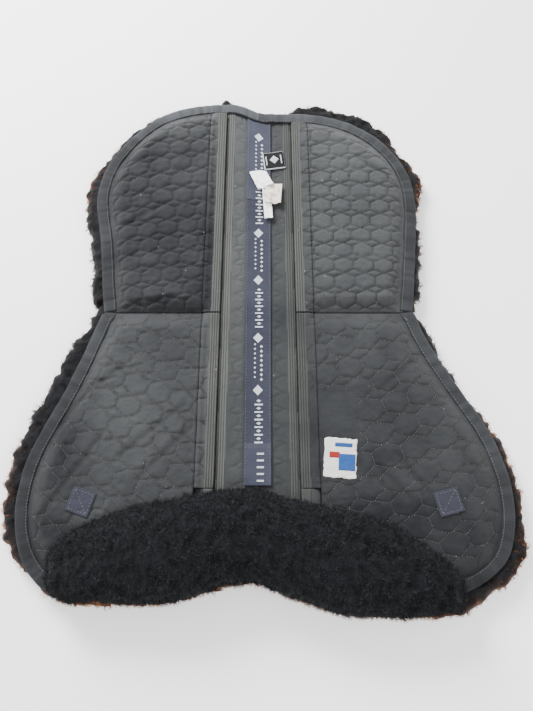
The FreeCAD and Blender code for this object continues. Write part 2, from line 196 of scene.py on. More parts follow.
def new_piece(name, points, faces, material, side=1, attributes=None, flat=False, roll=False):
    """A mesh object from points in mm and a list of face arrays; side -1 mirrors it."""
    points = np.array(points, float)
    if side < 0:
        points[:, 0] *= -1
    points = settled(points, roll)
    mesh = bpy.data.meshes.new(name)
    mesh.vertices.add(len(points))
    mesh.vertices.foreach_set("co", (points * MM).ravel())
    loops, starts, at = [], [], 0
    for group in faces:
        group = np.asarray(group, np.int64)
        if not len(group):
            continue
        if side < 0:
            group = group[:, ::-1]
        loops.append(group.ravel())
        starts.append(at + np.arange(len(group)) * group.shape[1])
        at += group.size
    mesh.loops.add(at)
    mesh.loops.foreach_set("vertex_index", np.concatenate(loops).astype(np.int32))
    starts = np.concatenate(starts).astype(np.int32)
    mesh.polygons.add(len(starts))
    mesh.polygons.foreach_set("loop_start", starts)
    mesh.update(calc_edges=True)
    mesh.validate()
    mesh.polygons.foreach_set("use_smooth", [not flat] * len(mesh.polygons))
    attributes = {"paleness": np.full(len(mesh.vertices), 0.35), **(attributes or {})}
    for key, values in attributes.items():
        layer = mesh.attributes.new(key, "FLOAT", "POINT")
        layer.data.foreach_set("value", np.asarray(values, np.float32))
    mesh.materials.append(material)
    piece = bpy.data.objects.new(name, mesh)
    bpy.context.scene.collection.objects.link(piece)
    return piece


def border_of(faces, count):
    """The edges of a quad mesh of count points that only one face uses."""
    edges = np.vstack([faces[:, [k, (k + 1) % 4]] for k in range(4)])
    keys = edges[:, 0] * count + edges[:, 1]
    return edges[~np.isin(keys, edges[:, 1] * count + edges[:, 0])]


def plan_mesh(polygon, step):
    """A quad mesh filling a plan polygon: its points, its faces, and its boundary edges."""
    low, high = polygon.min(axis=0), polygon.max(axis=0)
    gx, gy = np.meshgrid(np.arange(low[0], high[0] + step, step), np.arange(low[1], high[1] + step, step))
    points = np.column_stack([gx.ravel(), gy.ravel()])
    within = inside(points, polygon).reshape(gx.shape)
    cells = within[:-1, :-1] & within[1:, :-1] & within[:-1, 1:] & within[1:, 1:]
    for _ in range(6):
        edge = np.pad(cells, 1).astype(int)
        cells &= (edge[:-2, 1:-1] + edge[2:, 1:-1] + edge[1:-1, :-2] + edge[1:-1, 2:]) >= 2
        cells[:-1, :-1] &= ~(cells[:-1, :-1] & cells[1:, 1:] & ~cells[:-1, 1:] & ~cells[1:, :-1])
        cells[:-1, 1:] &= ~(cells[:-1, 1:] & cells[1:, :-1] & ~cells[:-1, :-1] & ~cells[1:, 1:])
    rows, columns = np.nonzero(cells)
    wide = gx.shape[1]
    corner = rows * wide + columns
    faces = np.column_stack([corner, corner + 1, corner + 1 + wide, corner + wide])
    used, faces = np.unique(faces, return_inverse=True)
    faces = faces.reshape(-1, 4)
    points = points[used]
    border = border_of(faces, len(points))
    rim = np.unique(border)
    nearest = distance_to(points[rim], looped(polygon), nearest=True)
    close = np.linalg.norm(nearest - points[rim], axis=1) < step * 1.8
    points[rim[close]] = nearest[close]
    return points, faces, border


def shell(plan, faces, border, top, bottom):
    """Points and faces of a closed form between a top and a bottom surface over one plan mesh."""
    count = len(plan)
    points = np.vstack([np.column_stack([plan, top]), np.column_stack([plan, bottom])])
    walls = np.column_stack([border[:, 1], border[:, 0], border[:, 0] + count, border[:, 1] + count])
    return points, [faces, faces[:, ::-1] + count, walls]


def cloth_layer(name, mesh, top, bottom, shade, material, side, paleness=None):
    """A closed layer of cloth over a plan mesh, shaded by its quilting on top."""
    points, groups = shell(*mesh, top, bottom)
    attributes = {"crown": np.concatenate([shade, np.full(len(shade), 0.5)])}
    if paleness is not None:
        attributes["paleness"] = np.tile(paleness, 2)
    return new_piece(name, points, groups, MATERIALS[material], side, attributes)


def tube_faces(stations, count):
    """Faces of a tube with count points round each station, and of its two ends."""
    station = np.arange(stations - 1)[:, None] * count
    around = np.arange(count)[None, :]
    after = (around + 1) % count
    sides = np.stack([station + around, station + after, station + after + count, station + around + count], axis=-1)
    return [sides.reshape(-1, 4), around[:, ::-1], (stations - 1) * count + around]


def sweep(line, profiles, normals):
    """Points and faces of a closed section swept along a plan line; profiles hold (outwards, z) pairs."""
    plan = line[:, None, :] + normals[:, None, :] * profiles[:, :, :1]
    points = np.concatenate([plan, profiles[:, :, 1:]], axis=2).reshape(-1, 3)
    return points, tube_faces(len(line), profiles.shape[1])


# ------------------------------------------------------------------- materials

class Shader:
    """A new material, and the nodes that are added to it."""

    def __init__(self, name, roughness, sheen=0.0, specular=0.25):
        self.material = bpy.data.materials.new(name)
        self.material.use_nodes = True
        self.tree = self.material.node_tree
        self.main = self.tree.nodes["Principled BSDF"]
        for key, value in (("Roughness", roughness), ("Specular IOR Level", specular),
                           ("Sheen Weight", sheen), ("Sheen Roughness", 0.5)):
            self.main.inputs[key].default_value = value
        self.place = self.tree.nodes.new("ShaderNodeTexCoord").outputs["Object"]

    def fill(self, socket, value):
        """Link another node's output into a socket, or set the socket."""
        if isinstance(value, bpy.types.NodeSocket):
            self.tree.links.new(value, socket)
        else:
            socket.default_value = value

    def node(self, kind, settings=None, output=0, **inputs):
        """An output of a new node, with its settings made and its inputs filled."""
        made = self.tree.nodes.new("ShaderNode" + kind)
        for key, value in (settings or {}).items():
            setattr(made, key, value)
        for key, value in inputs.items():
            self.fill(made.inputs[key.replace("_", " ")], value)
        return made.outputs[output]

    def mix(self, share, first, second):
        """A mix of two colours."""
        made = self.tree.nodes.new("ShaderNodeMix")
        made.data_type = "RGBA"
        for index, value in ((0, share), (6, first), (7, second)):
            self.fill(made.inputs[index], value)
        return made.outputs[2]

    def maths(self, operation, *values):
        made = self.tree.nodes.new("ShaderNodeMath")
        made.operation = operation
        for socket, value in zip(made.inputs, (*values, 0.0, 0.0)):
            self.fill(socket, value)
        return made.outputs[0]

    def times(self, first, second):
        return self.maths("MULTIPLY", first, second)

    def noise(self, scale, detail=3.0, rough=0.55):
        """A noise texture, stretched to use more of 0 to 1."""
        made = self.node("TexNoise", Vector=self.place, Scale=scale, Detail=detail, Roughness=rough)
        return self.node("MapRange", Value=made, From_Min=0.3, From_Max=0.7)

    def attribute(self, name):
        return self.node("Attribute", {"attribute_name": name}, "Fac")

    def finished(self, tone, height, strength, distance):
        """The material, with its colour and its bump in place."""
        self.fill(self.main.inputs["Base Color"], tone)
        bump = self.node("Bump", Strength=strength, Distance=distance, Height=height)
        self.fill(self.main.inputs["Normal"], bump)
        return self.material


def colour(red, green, blue):
    """Linear colour from ordinary 0 to 255 values."""
    def linear(value):
        value /= 255
        return value / 12.92 if value <= 0.04045 else ((value + 0.055) / 1.055) ** 2.4
    return (linear(red), linear(green), linear(blue), 1)


LINT = colour(176, 172, 160)


def woven(name, deep, base, pale, thread, weave, worn, specks=0.0, roughness=0.9):
    """Woven cloth: fading (darkened by a painted shadow of the roll on some pieces), grain, painted shade in the
    stitched valleys, lint, and a fine two-way weave in the bump.
    The point attribute "crown" is 0 in a stitched valley and 1 on top of a puff; where it is low, the colour goes
    towards deep as painted shade."""
    made = Shader(name, roughness, sheen=0.04)
    drift = made.maths("MULTIPLY_ADD", made.noise(14.0, 5.0), 0.3, -0.15)
    paleness = made.maths("MAXIMUM", made.maths("ADD", made.attribute("paleness"), drift), 0.0)
    valley = made.maths("SUBTRACT", 1.0, made.attribute("crown"))
    grain = made.noise(620.0, 3.0, 0.7)
    tone = made.mix(made.times(paleness, worn), base, pale)
    tone = made.mix(made.times(made.noise(38.0, 5.0, 0.65), 0.2 * worn), tone, pale)
    # painted shade: the colour goes towards deep where the crown attribute is low
    tone = made.mix(made.times(valley, 0.9), tone, deep)
    tone = made.mix(made.times(grain, 0.28), tone, deep)
    if specks:
        dots = made.node("TexVoronoi", {"feature": "F1"}, "Distance", Vector=made.place, Scale=210.0, Randomness=1.0)
        near = made.maths("LESS_THAN", dots, 0.13)
        rare = made.maths("GREATER_THAN", made.noise(90.0, 2.0), 0.92)
        tone = made.mix(made.times(made.times(near, rare), specks), tone, LINT)
    waves = [made.node("TexWave", {"wave_type": "BANDS", "bands_direction": direction}, "Fac", Vector=made.place,
                       Scale=2 * math.pi / (20 * thread * MM), Distortion=0.6, Detail=1.0) for direction in "XY"]
    threads = made.maths("ADD", *(made.times(wave, 0.5) for wave in waves))
    relief = made.maths("ADD", made.times(threads, 0.6), made.times(grain, 0.6))
    return made.finished(tone, relief, weave, 0.0006)


def wool(name, root, body, pale, tip):
    """Curly pile. The point attribute "tip" is 1 at a sun-bleached tip; "pale" is how a lock catches the light."""
    made = Shader(name, 0.75, sheen=0.03, specular=0.15)
    curl = made.noise(420.0, 3.0, 0.7)
    tone = made.mix(curl, root, body)
    for attribute, pattern, paint in (("pale", curl, pale), ("tip", made.noise(55.0, 4.0), tip)):
        share = made.times(made.attribute(attribute), made.maths("MULTIPLY_ADD", pattern, 0.5, 0.5))
        tone = made.mix(share, tone, paint)
    strands = made.node("TexNoise", Vector=made.place, Scale=900.0, Detail=4.0, Distortion=1.5)
    return made.finished(tone, strands, 0.9, 0.0012)


CLOTHS = {
    # colours of painted shade in a stitched valley (also the grain's dark), of sound cloth and of worn cloth; then
    # thread width in mm, strength of the weave, of the wear and of the lint, and roughness
    "quilted_cotton": ((5, 6, 9), (10, 12, 17), (73, 75, 76), 0.6, 0.35, 0.9, 0.4),
    "panel_cotton": ((9, 10, 13), (20, 22, 26), (72, 74, 74), 0.6, 0.35, 0.9, 0.3),
    "edge_binding": ((7, 8, 10), (15, 16, 20), (78, 81, 85), 0.9, 0.6, 0.8),
    "spine_webbing": ((10, 11, 20), (26, 27, 40), (78, 81, 97), 1.0, 1.0, 0.8),
    "anchor_webbing": ((15, 15, 23), (35, 36, 47), (74, 74, 86), 1.2, 0.8, 0.5),
    "rib_stitching": ((16, 17, 18), (46, 48, 48), (112, 114, 109), 0.8, 0.6, 0.6, 0.5),
    "thread_dark": ((16, 16, 18), (34, 35, 38), (92, 92, 92), 0.3, 0.5, 0.8),
    "thread_grey": ((62, 63, 62), (94, 95, 93), (140, 139, 134), 0.3, 0.5, 0.8),
    "thread_pale": ((66, 67, 67), (100, 101, 99), (146, 143, 135), 0.3, 0.5, 0.5),
    "woven_mark": ((112, 116, 124), (172, 176, 182), (205, 207, 210), 0.5, 0.5, 0.6),
    "hook_and_loop": ((6, 6, 7), (14, 14, 16), (26, 26, 28), 1.4, 1.0, 0.3),
    "felt_insert": ((50, 49, 47), (80, 78, 75), (100, 98, 94), 2.2, 0.5, 0.5),
    "woven_label": ((5, 5, 6), (11, 11, 13), (22, 22, 25), 0.5, 0.4, 0.3),
    "tag_white": ((196, 198, 198), (243, 244, 243), (250, 250, 249), 0.5, 0.3, 0.5, 0.0, 0.6),
    "tag_pink": ((150, 134, 126), (222, 208, 198), (244, 240, 234), 0.5, 0.3, 0.5, 0.0, 0.6),
    "label_white": ((140, 138, 134), (206, 205, 203), (228, 226, 222), 0.5, 0.4, 0.5),
    "label_blue": ((18, 44, 88), (30, 68, 126), (56, 98, 150), 0.5, 0.4, 0.5),
    "label_red": ((88, 16, 14), (138, 30, 27), (164, 60, 50), 0.5, 0.4, 0.5),
}
WOOLS = {
    # colours at the root, along the lock, where it catches the light, and of a bleached tip
    "sheepskin": ((0, 0, 1), (3, 4, 6), (18, 21, 28), (150, 84, 32)),
    "sheepskin_lock": ((1, 1, 2), (5, 7, 10), (60, 64, 70), (240, 152, 66)),
}
MATERIALS = {}
for name, (deep, base, pale, *settings) in CLOTHS.items():
    MATERIALS[name] = woven(name, colour(*deep), colour(*base), colour(*pale), *settings)
for name, tones in WOOLS.items():
    MATERIALS[name] = wool(name, *(colour(*tone) for tone in tones))


# two distances from the middle of the spine, in mm, passed to finish_piece as its width
SIDE_FOLD = (22, 37)


def finish_piece(piece, material, body=None, fold=None, nodes=(), width=SIDE_FOLD):
    """Ride a piece on its body's empty, or bake its transform in place when a fold is given; hide the CAD nodes that
    it stands for.
    """
    if fold:
        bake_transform(piece)
    else:
        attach(piece, body)
    if nodes:
        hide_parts(*nodes)
    return piece


# ---------------------------------------------------------- what the frame gives

def box(node):
    """Lowest and highest corner of a CAD node, in mm."""
    low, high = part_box(node)
    return np.array(low) / MM, np.array(high) / MM


def plan_outline(node):
    """The outline of a flat-topped CAD node's top face, as a closed loop of plan points in mm."""
    mesh = frame["nodes"][node].data
    top = max(vertex.co.z for vertex in mesh.vertices)
    edges = {}
    for polygon in mesh.polygons:
        if all(abs(mesh.vertices[i].co.z - top) < 1e-5 for i in polygon.vertices):
            ring = [tuple(round(c / MM, 3) for c in mesh.vertices[i].co[:2]) for i in polygon.vertices]
            for start, end in zip(ring, ring[1:] + ring[:1]):
                if edges.get((end, start)):
                    edges[(end, start)] -= 1
                else:
                    edges[(start, end)] = edges.get((start, end), 0) + 1
    follow = {start: end for (start, end), count in edges.items() if count}
    start = next(iter(follow))
    loop = [start]
    while follow[loop[-1]] != start and len(loop) <= len(follow):
        loop.append(follow[loop[-1]])
    return np.array(loop)


def quilt_edge():
    """The right-hand quilt's outer edge, from the rear of the fold line round to its front."""
    loop = plan_outline("right_base_quilt")
    inner_x = box("right_base_quilt")[0][0]
    on_fold = np.abs(loop[:, 0] - inner_x) < 0.1
    rear = int(np.argmax(np.where(on_fold, loop[:, 1], -1e9)))
    loop = np.roll(loop, -rear, axis=0)
    if abs(loop[1][0] - inner_x) < 0.1:
        loop = np.roll(loop[::-1], 1, axis=0)
    end = [i for i in range(1, len(loop)) if abs(loop[i][0] - inner_x) < 0.1][0]
    return spaced(loop[:end + 1], 2.0)


EDGE = quilt_edge()
OUT = normals_of(EDGE)
if OUT[0][1] < 0:
    OUT = -OUT
BASE_TOP = box("right_base_quilt")[1][2]
BASE_BOTTOM = box("right_base_quilt")[0][2]
COVER_TOP = box("right_rear_cover")[1][2]
FLAP_TOP = box("right_rear_loop_strip")[1][2] + 3.5
PANEL_TOP = box("spine_panel")[1][2]
POCKET_CEILING = box("right_rear_half_insert")[1][2] + 0.3
TAPE_TOP = box("spine_tape_middle")[1][2]
BINDING = 14.0
SEAM_Y = (box("right_rear_cover")[0][1] + box("right_front_cover")[1][1]) / 2
REAR_Y = box("right_base_quilt")[1][1]
JOINTS = {joint["name"]: joint for joint in frame["joints"]}
HINGE = JOINTS["right_rear_flap_open"]
TILT = math.tan(math.asin(abs(HINGE["axis"][0])))
FLANGE = 20.0
RIB_BAND = 10.6
RIB_HEIGHT = 0.8
FLOOR_GAP = 0.15
HINGE_TOP = HINGE["pos_m"][2] / MM


def hinge_x(y):
    """The closure flaps' hinge line."""
    return HINGE["pos_m"][0] / MM - (y - HINGE["pos_m"][1] / MM) * TILT


def slit_x(y):
    """The slit's line."""
    return hinge_x(y) - FLANGE


# ------------------------------------------------------------ quilted surfaces

STITCH, STITCH_GAP = 1.5, 0.9


class Quilting:
    """Long hexagons in straight rows, with small diamonds where four of them meet."""

    def __init__(self, origin, turn, pitch, stack, side_length, flat, seed):
        self.origin = np.array(origin, float)
        self.cos, self.sin = math.cos(math.radians(turn)), math.sin(math.radians(turn))
        self.pitch, self.stack, self.side_length, self.flat, self.seed = pitch, stack, side_length, flat, seed

    def wander(self, x, y):
        """Hand-made unevenness of the rows."""
        slow, fast = 1.5 + self.pitch / 18 - 1.2, 0.5 + (self.pitch - 23) / 8
        return (slow * noise(x / 42, y / 42, 0, self.seed) + fast * noise(x / 11, y / 11, 0, self.seed + 2),
                slow * noise(x / 38, y / 38, 0, self.seed + 1) + fast * noise(x / 10, y / 10, 0, self.seed + 3))

    def distance(self, x, y):
        """Distance from the nearest stitched line."""
        wx, wy = self.wander(x, y)
        dx, dy = x - self.origin[0], y - self.origin[1]
        u = self.cos * dx + self.sin * dy + wx
        v = -self.sin * dx + self.cos * dy + wy
        a, p = self.pitch / 2, self.stack / 2
        u = np.abs((u + a) % (2 * a) - a)
        v = np.abs((v + p) % (2 * p) - p)
        place = np.column_stack([u.ravel(), v.ravel()])
        corners = np.array([(a, 0), (a, self.side_length / 2), (self.flat / 2, p), (0, p)])
        return distance_to(place, corners).reshape(np.shape(u))

    def stitches(self, low, high):
        """Start and end of every stitch within a plan box."""
        a, p, s, f = self.pitch, self.stack, self.side_length, self.flat
        lines = [((a / 2, -s / 2), (a / 2, s / 2)), ((-f / 2, p / 2), (f / 2, p / 2))]
        for sx in (-1, 1):
            for sy in (-1, 1):
                lines.append(((sx * a / 2, sy * s / 2), (sx * f / 2, sy * p / 2)))
        far = int(np.linalg.norm(np.array(high) - low) / min(a, p)) + 2
        middle = (np.array(low) + high) / 2 - self.origin
        ci = round((self.cos * middle[0] + self.sin * middle[1]) / a)
        cj = round((-self.sin * middle[0] + self.cos * middle[1]) / p)
        pairs = []
        for i in range(ci - far, ci + far + 1):
            for j in range(cj - far, cj + far + 1):
                for start, end in lines:
                    start = np.array(start) + (i * a, j * p)
                    end = np.array(end) + (i * a, j * p)
                    total = np.linalg.norm(end - start)
                    count = max(1, int(round(total / (STITCH + STITCH_GAP))))
                    for k in range(count):
                        pairs.append([start + (end - start) * ((k + 0.5) / count + half * STITCH / total / 2)
                                      for half in (-1, 1)])
        local = np.array(pairs).reshape(-1, 2)
        target = self.origin + np.column_stack([
            self.cos * local[:, 0] - self.sin * local[:, 1], self.sin * local[:, 0] + self.cos * local[:, 1]])
        place = target.copy()
        for _ in range(4):
            wx, wy = self.wander(place[:, 0], place[:, 1])
            place = target - np.column_stack([self.cos * wx - self.sin * wy, self.sin * wx + self.cos * wy])
        ends = place.reshape(-1, 2, 2)
        middles = ends.mean(axis=1)
        keep = np.all((middles > low) & (middles < high), axis=1)
        return ends[keep]


PATTERNS = {
    # origin, turn, pitch across and along, length of a hexagon's side and of its flat end, seed
    ("right", "rear"): Quilting((75, 246), 0, 23.0, 19.3, 10.0, 2.0, 11),
    ("left", "rear"): Quilting((75, 240), -7, 23.0, 19.3, 10.0, 2.0, 21),
    ("right", "front"): Quilting((85, 0), 18, 28.0, 25.0, 12.0, 3.0, 31),
    ("left", "front"): Quilting((85, -4), 18, 28.0, 25.0, 12.0, 3.0, 41),
}
PLAIN_PATCH = {("right", "front"): ((62, 106), (-160, -72))}
CREASES = {
    # start, end, depth and width of each fold in the cloth, worked out on the right
    ("left", "front"): [
        ((250, -150), (180, -62), 1.2, 3.0), ((236, -112), (150, -46), 0.9, 3.0),
        ((228, -205), (170, -120), 1.0, 3.0), ((186, -66), (156, -58), 0.7, 1.6),
        ((155, -50), (128, -44), 0.6, 1.6), ((70, -112), (128, -166), 0.9, 3.4), ((78, -88), (150, -142), 0.6, 3.0)],
    ("left", "rear"): [((170, 20), (95, 34), 1.4, 2.6), ((160, 120), (110, 150), 0.8, 2.6)],
    ("right", "front"): [
        ((190, -20), (130, -70), 0.7, 3.0), ((150, -185), (120, -150), 1.0, 3.0),
        ((168, -180), (140, -140), 0.7, 2.4)],
    ("right", "rear"): [((170, 180), (120, 215), 0.8, 2.6)],
}


def puffs(side_name, end_name, x, y, margin):
    """Height of the quilting above its stitches, and its painted shade (1 on the puffs, darker along the stitched
    lines).
    """
    pattern = PATTERNS[side_name, end_name]
    distance = pattern.distance(x, y)
    fullness = 2.0 if end_name == "rear" else 1.35
    near = np.clip(distance / 6.0, 0, 1)
    crown = 1 - (1 - near) ** 2.6
    calm = smooth(1.5, 9, margin)
    if (side_name, end_name) in PLAIN_PATCH:
        (_, x1), (y0, y1) = PLAIN_PATCH[side_name, end_name]
        patch = (1 - smooth(x1 - 5, x1 + 5, x)) * (1 - smooth(y1 - 5, y1 + 5, y)) * smooth(y0 - 8, y0, y)
        calm = calm * (1 - 0.85 * patch)
    height = crown * fullness * calm
    pinch = np.exp(-distance / 3.0) * calm
    height = height + 0.5 * noise(x / 2.6, y / 2.2, 0, pattern.seed + 5) * pinch
    height = height + 0.17 * fullness * noise(x / 12, y / 4.5, 0, pattern.seed + 6) * calm
    height = height + 0.25 * noise(x / 3.5, y / 2.6, 0, pattern.seed + 8)
    drawn = 0.3 + 0.7 * smooth(-0.5, 0.6, noise(x / 17, y / 17, 0, pattern.seed + 7))
    # painted shade along the stitched lines, patchy where drawn is low
    line = (np.exp(-(distance / 0.75) ** 2) * 0.62 + 0.2 * np.exp(-distance / 2.4)) * drawn
    shade = 1 - line * calm
    return height, shade


def paleness_and_roll_shadow(side_name, x, y):
    """How washed out the cotton is: palest on the right's rear pocket and the left's front one. Towards the roll at
    the front it is darker, a painted shadow of the roll.
    """
    if side_name == "right":
        rear = 0.6 + 0.05 * smooth(120, 260, y) - 0.08 * (1 - smooth(50, 100, y))
        rear = rear - 0.16 * (1 - smooth(-2, 3, x - hinge_x(y)))
        # the front's last term is a painted shadow of the roll
        front = 0.11 + 0.15 * smooth(-70, -15, y) + 0.13 * smooth(150, 215, x) - 0.26 * (1 - smooth(-215, -165, y))
    else:
        rear = 0.04 + 0.06 * (1 - smooth(40, 90, y)) + 0.42 * smooth(205, 258, y) + 0.1 * smooth(150, 172, x)
        rear = rear + 0.4 * (1 - smooth(-4, 6, x - hinge_x(y))) * smooth(90, 230, y)
        pale_spot = np.exp(-((x - 150) / 45) ** 2 - ((y + 100) / 45) ** 2)
        # the front's last term is a painted shadow of the roll
        front = 0.33 + 0.24 * pale_spot - 0.18 * smooth(165, 212, x) - 0.22 * (1 - smooth(-235, -190, y))
        front = front + 0.4 * (1 - smooth(-4, 6, x - hinge_x(y)))
    share = smooth(SEAM_Y - 3, SEAM_Y + 3, y)
    return rear * share + front * (1 - share)


def plan_distance(x, y):
    """Distance inside the quilt's edge."""
    return distance_to(np.column_stack([np.ravel(x), np.ravel(y)]), EDGE)


def cover_top(side_name, end_name, x, y):
    """Top of a pocket cover, and its painted shade (1 where none is painted)."""
    margin = plan_distance(x, y) - BINDING
    seam = np.abs(y - SEAM_Y)
    rise = smooth(-0.5, 19, margin) * smooth(0.0, 18 if end_name == "rear" else 22, seam)
    puff, shade = puffs(side_name, end_name, x, y, np.minimum(margin, seam * 1.6))
    low = BASE_TOP + 1.0 + 1.0 * smooth(-1.2, 1.2, margin)
    height = low + (COVER_TOP - 2.0 - low) * rise + puff * smooth(-1.0, 2.5, margin)
    seed = PATTERNS[side_name, end_name].seed
    height = height + 0.8 * noise(x / 46, y / 46, 0, seed + 9) * rise
    for start, end, depth, width in CREASES[side_name, end_name]:
        away = distance_to(np.column_stack([x, y]), np.array([start, end], float))
        fold = np.exp(-(away / width) ** 2)
        height = height - depth * fold * rise + 0.4 * depth * rise * np.exp(-((away - 2.2 * width) / width) ** 2)
        # painted shade in each fold
        shade = shade * (1 - 0.35 * fold)
    # the cloth dips to the seam along the hinge line, and painted shade darkens the dip
    dip = np.exp(-((x - hinge_x(y)) / 1.8) ** 2)
    height = height - 0.6 * dip * rise
    height = np.minimum(height, HINGE_TOP - 0.3 + 0.75 * np.maximum(x - hinge_x(y), 0))
    return height, shade * (1 - 0.35 * dip)


def cover_underside(side_name, end_name, x, y):
    """The flat inner face of a pocket cover, which the inserts slide along."""
    top, _ = cover_top(side_name, end_name, x, y)
    return np.minimum(top - 0.8, POCKET_CEILING)


def ribs(distance):
    """Height and shade of the parallel stitch rows beside a slit."""
    band = smooth(0.2, 1.2, distance) * (1 - smooth(RIB_BAND - 0.6, RIB_BAND + 0.4, distance))
    wave = 0.5 - 0.5 * np.cos(2 * math.pi * distance / 2.65)
    return RIB_HEIGHT * wave * band, band


def rib_shade(shade, rib, band):
    """The quilting's shade, giving way to the ribs' own in their band."""
    return shade * (1 - band) + band * (0.1 + 0.9 * rib / RIB_HEIGHT)


def mark_ribs(piece, faces, away):
    """Give the top faces within the rib band their own material."""
    piece.data.materials.append(MATERIALS["rib_stitching"])
    centre = away[faces].mean(axis=1)
    index = np.zeros(len(piece.data.polygons), np.int32)
    index[:len(faces)] = (centre > 0.2) & (centre < RIB_BAND)
    piece.data.polygons.foreach_set("material_index", index)


def inset_polygon(inset, inner):
    """The quilt's outline moved in, closed along an inner x."""
    line = EDGE - OUT * inset
    line[0][0] = line[-1][0] = inner
    return line


HINGE_NORMAL = np.array([1, TILT]) / math.hypot(1, TILT)
RIB_FADE = {
    # how washed out the stitch rows are beside each slit
    ("left", "rear"): 0.62, ("left", "front"): 0.62, ("left", "panel"): 0.9,
    ("right", "rear"): 0.55, ("right", "front"): 0.16, ("right", "panel"): 0.32,
}


def stitch_mesh(name, ends, heights, material, side, width=0.55, tall=0.28):
    """Many short stitches as one piece: each is a small closed spindle."""
    start, end = ends[:, 0], ends[:, 1]
    across = left_of(unit(end - start)) * width / 2
    middle = (start + end) / 2
    z = heights[:, None]
    points = np.stack([
        np.hstack([start, z]), np.hstack([end, z]),
        np.hstack([middle + across, z]), np.hstack([middle - across, z]),
        np.hstack([middle, z + tall]), np.hstack([middle, z - tall])], axis=1).reshape(-1, 3)
    pattern = [(0, 4, 2), (0, 3, 4), (1, 2, 4), (1, 4, 3), (0, 2, 5), (0, 5, 3), (1, 5, 2), (1, 3, 5)]
    faces = repeated(pattern, 6, len(ends))
    return new_piece(name, points, [faces], MATERIALS[material], side, {"crown": np.full(len(points), 0.7)})


def make_covers(side_name, side):
    for end_name, sign in (("rear", 1), ("front", -1)):
        polygon = clipped(inset_polygon(9.5, 45), (hinge_x(0) + 0.25, 0), HINGE_NORMAL)
        polygon = clipped(polygon, (0, SEAM_Y + sign * 0.6), (0, sign))
        if end_name == "front":
            polygon = clipped(polygon, (60, -208), np.array([0.42, 1.0]) / math.hypot(0.42, 1))
        mesh = plan_mesh(polygon, 1.15)
        place = side_name, end_name, *mesh[0].T
        top, shade = cover_top(*place)
        name = f"{side_name}_{end_name}_pocket"
        piece = cloth_layer(name, mesh, top, cover_underside(*place), shade, "quilted_cotton", side,
                            paleness_and_roll_shadow(side_name, *mesh[0].T))
        finish_piece(piece, "quilted_cotton", side_name + "_side", nodes=[f"{side_name}_{end_name}_cover"])
        ends = PATTERNS[side_name, end_name].stitches(mesh[0].min(axis=0), mesh[0].max(axis=0))
        middles = ends.mean(axis=1)
        x, y = middles.T
        keep = inside(middles, polygon) & (plan_distance(x, y) > BINDING + 4)
        keep &= (x > hinge_x(y) + 3) & (np.abs(y - SEAM_Y) > 5)
        if (side_name, end_name) in PLAIN_PATCH:
            (_, x1), (y0, y1) = PLAIN_PATCH[side_name, end_name]
            keep &= ~((x < x1) & (y < y1) & (y > y0))
        height, _ = cover_top(side_name, end_name, x[keep], y[keep])
        thread, *size = ("thread_dark",) if end_name == "rear" else ("thread_grey", 0.85, 0.5)
        piece = stitch_mesh(name + "_stitches", ends[keep], height + 0.1, thread, side, *size)
        finish_piece(piece, thread, side_name + "_side")


def make_flaps(side_name, side):
    for end_name, low, high in (("rear", SEAM_Y + 0.8, 270.5), ("front", -175.5, SEAM_Y - 0.8)):
        mesh = plan_mesh(np.array([(slit_x(low) + 0.5, low), (hinge_x(low) - 0.05, low),
                                   (hinge_x(high) - 0.05, high), (slit_x(high) + 0.5, high)]), 0.8)
        x, y = mesh[0].T
        away = x - slit_x(y)
        hinge_top, _ = cover_top(side_name, end_name, hinge_x(y) + 0.4, y)
        puff, shade = puffs(side_name, end_name, x, y, np.minimum(away - 8.5, 20 - away) * 2.2)
        rib, band = ribs(away)
        flat = FLAP_TOP - 0.6
        climb = smooth(11.5, 20.5, away)
        top = flat + (np.maximum(hinge_top, 26.8) - flat) * climb + puff * 0.55 * (1 - band) + rib
        top = top - 0.5 * np.exp(-((away - 20.2) / 1.3) ** 2) + 0.4 * noise(x / 16, y / 16, 0, 71 + side)
        top = np.minimum(top, HINGE_TOP - 0.2 + 0.35 * (FLANGE - away))
        bottom = np.minimum(top - 1.2, np.where(away < 15.5, FLAP_TOP - 3.4, top - 2.6))
        # painted shade between the ribs and along the hinge seam
        shade = rib_shade(shade, rib, band) * (1 - 0.35 * np.exp(-((away - 20) / 1.2) ** 2))
        if end_name == "front":
            make_hem(side_name, side, low - 0.6)
        pale_share = paleness_and_roll_shadow(side_name, x, y) * (1 - band) + RIB_FADE[side_name, end_name] * band
        piece = cloth_layer(f"{side_name}_{end_name}_closure_flap", mesh, top, bottom, shade,
                            "quilted_cotton", side, pale_share)
        mark_ribs(piece, mesh[1], away)
        finish_piece(piece, "quilted_cotton", f"{side_name}_{end_name}_closure",
                     nodes=[f"{side_name}_{end_name}_flap"])


def make_hem(side_name, side, y):
    """The pocket's cloth and stitch rows going on under the roll in front of the flap."""
    slit = slit_x(y)
    for tag, x0, x1, material, paleness in (
            ("rows", slit + 0.5, slit + RIB_BAND, "rib_stitching", RIB_FADE[side_name, "front"]),
            ("cloth", slit + RIB_BAND + 0.1, hinge_x(y), "quilted_cotton", 0.5)):
        corners = [(x0, y - 16), (x1, y - 16), (x1, y), (x0, y)]
        piece = soft_plate("%s_front_hem_%s" % (side_name, tag), corners, 1.5,
                           lambda px, py: FLAP_TOP - 0.4 + 0 * px, 2.0, material, side, paleness=paleness)
        finish_piece(piece, "quilted_cotton", side_name + "_side")


def make_base(side_name, side):
    """Base quilt, seen inside an open pocket and round the slit."""
    mesh = plan_mesh(inset_polygon(1.0, 37), 3.0)
    x, y = mesh[0].T
    puff, shade = puffs(side_name, "rear", x, y, plan_distance(x, y))
    piece = cloth_layer(side_name + "_quilt_layer", mesh, BASE_TOP - 0.9 + puff * 0.3,
                        np.full(len(x), BASE_BOTTOM + 0.3), shade, "quilted_cotton", side)
    finish_piece(piece, "quilted_cotton", side_name + "_side", nodes=[side_name + "_base_quilt"])


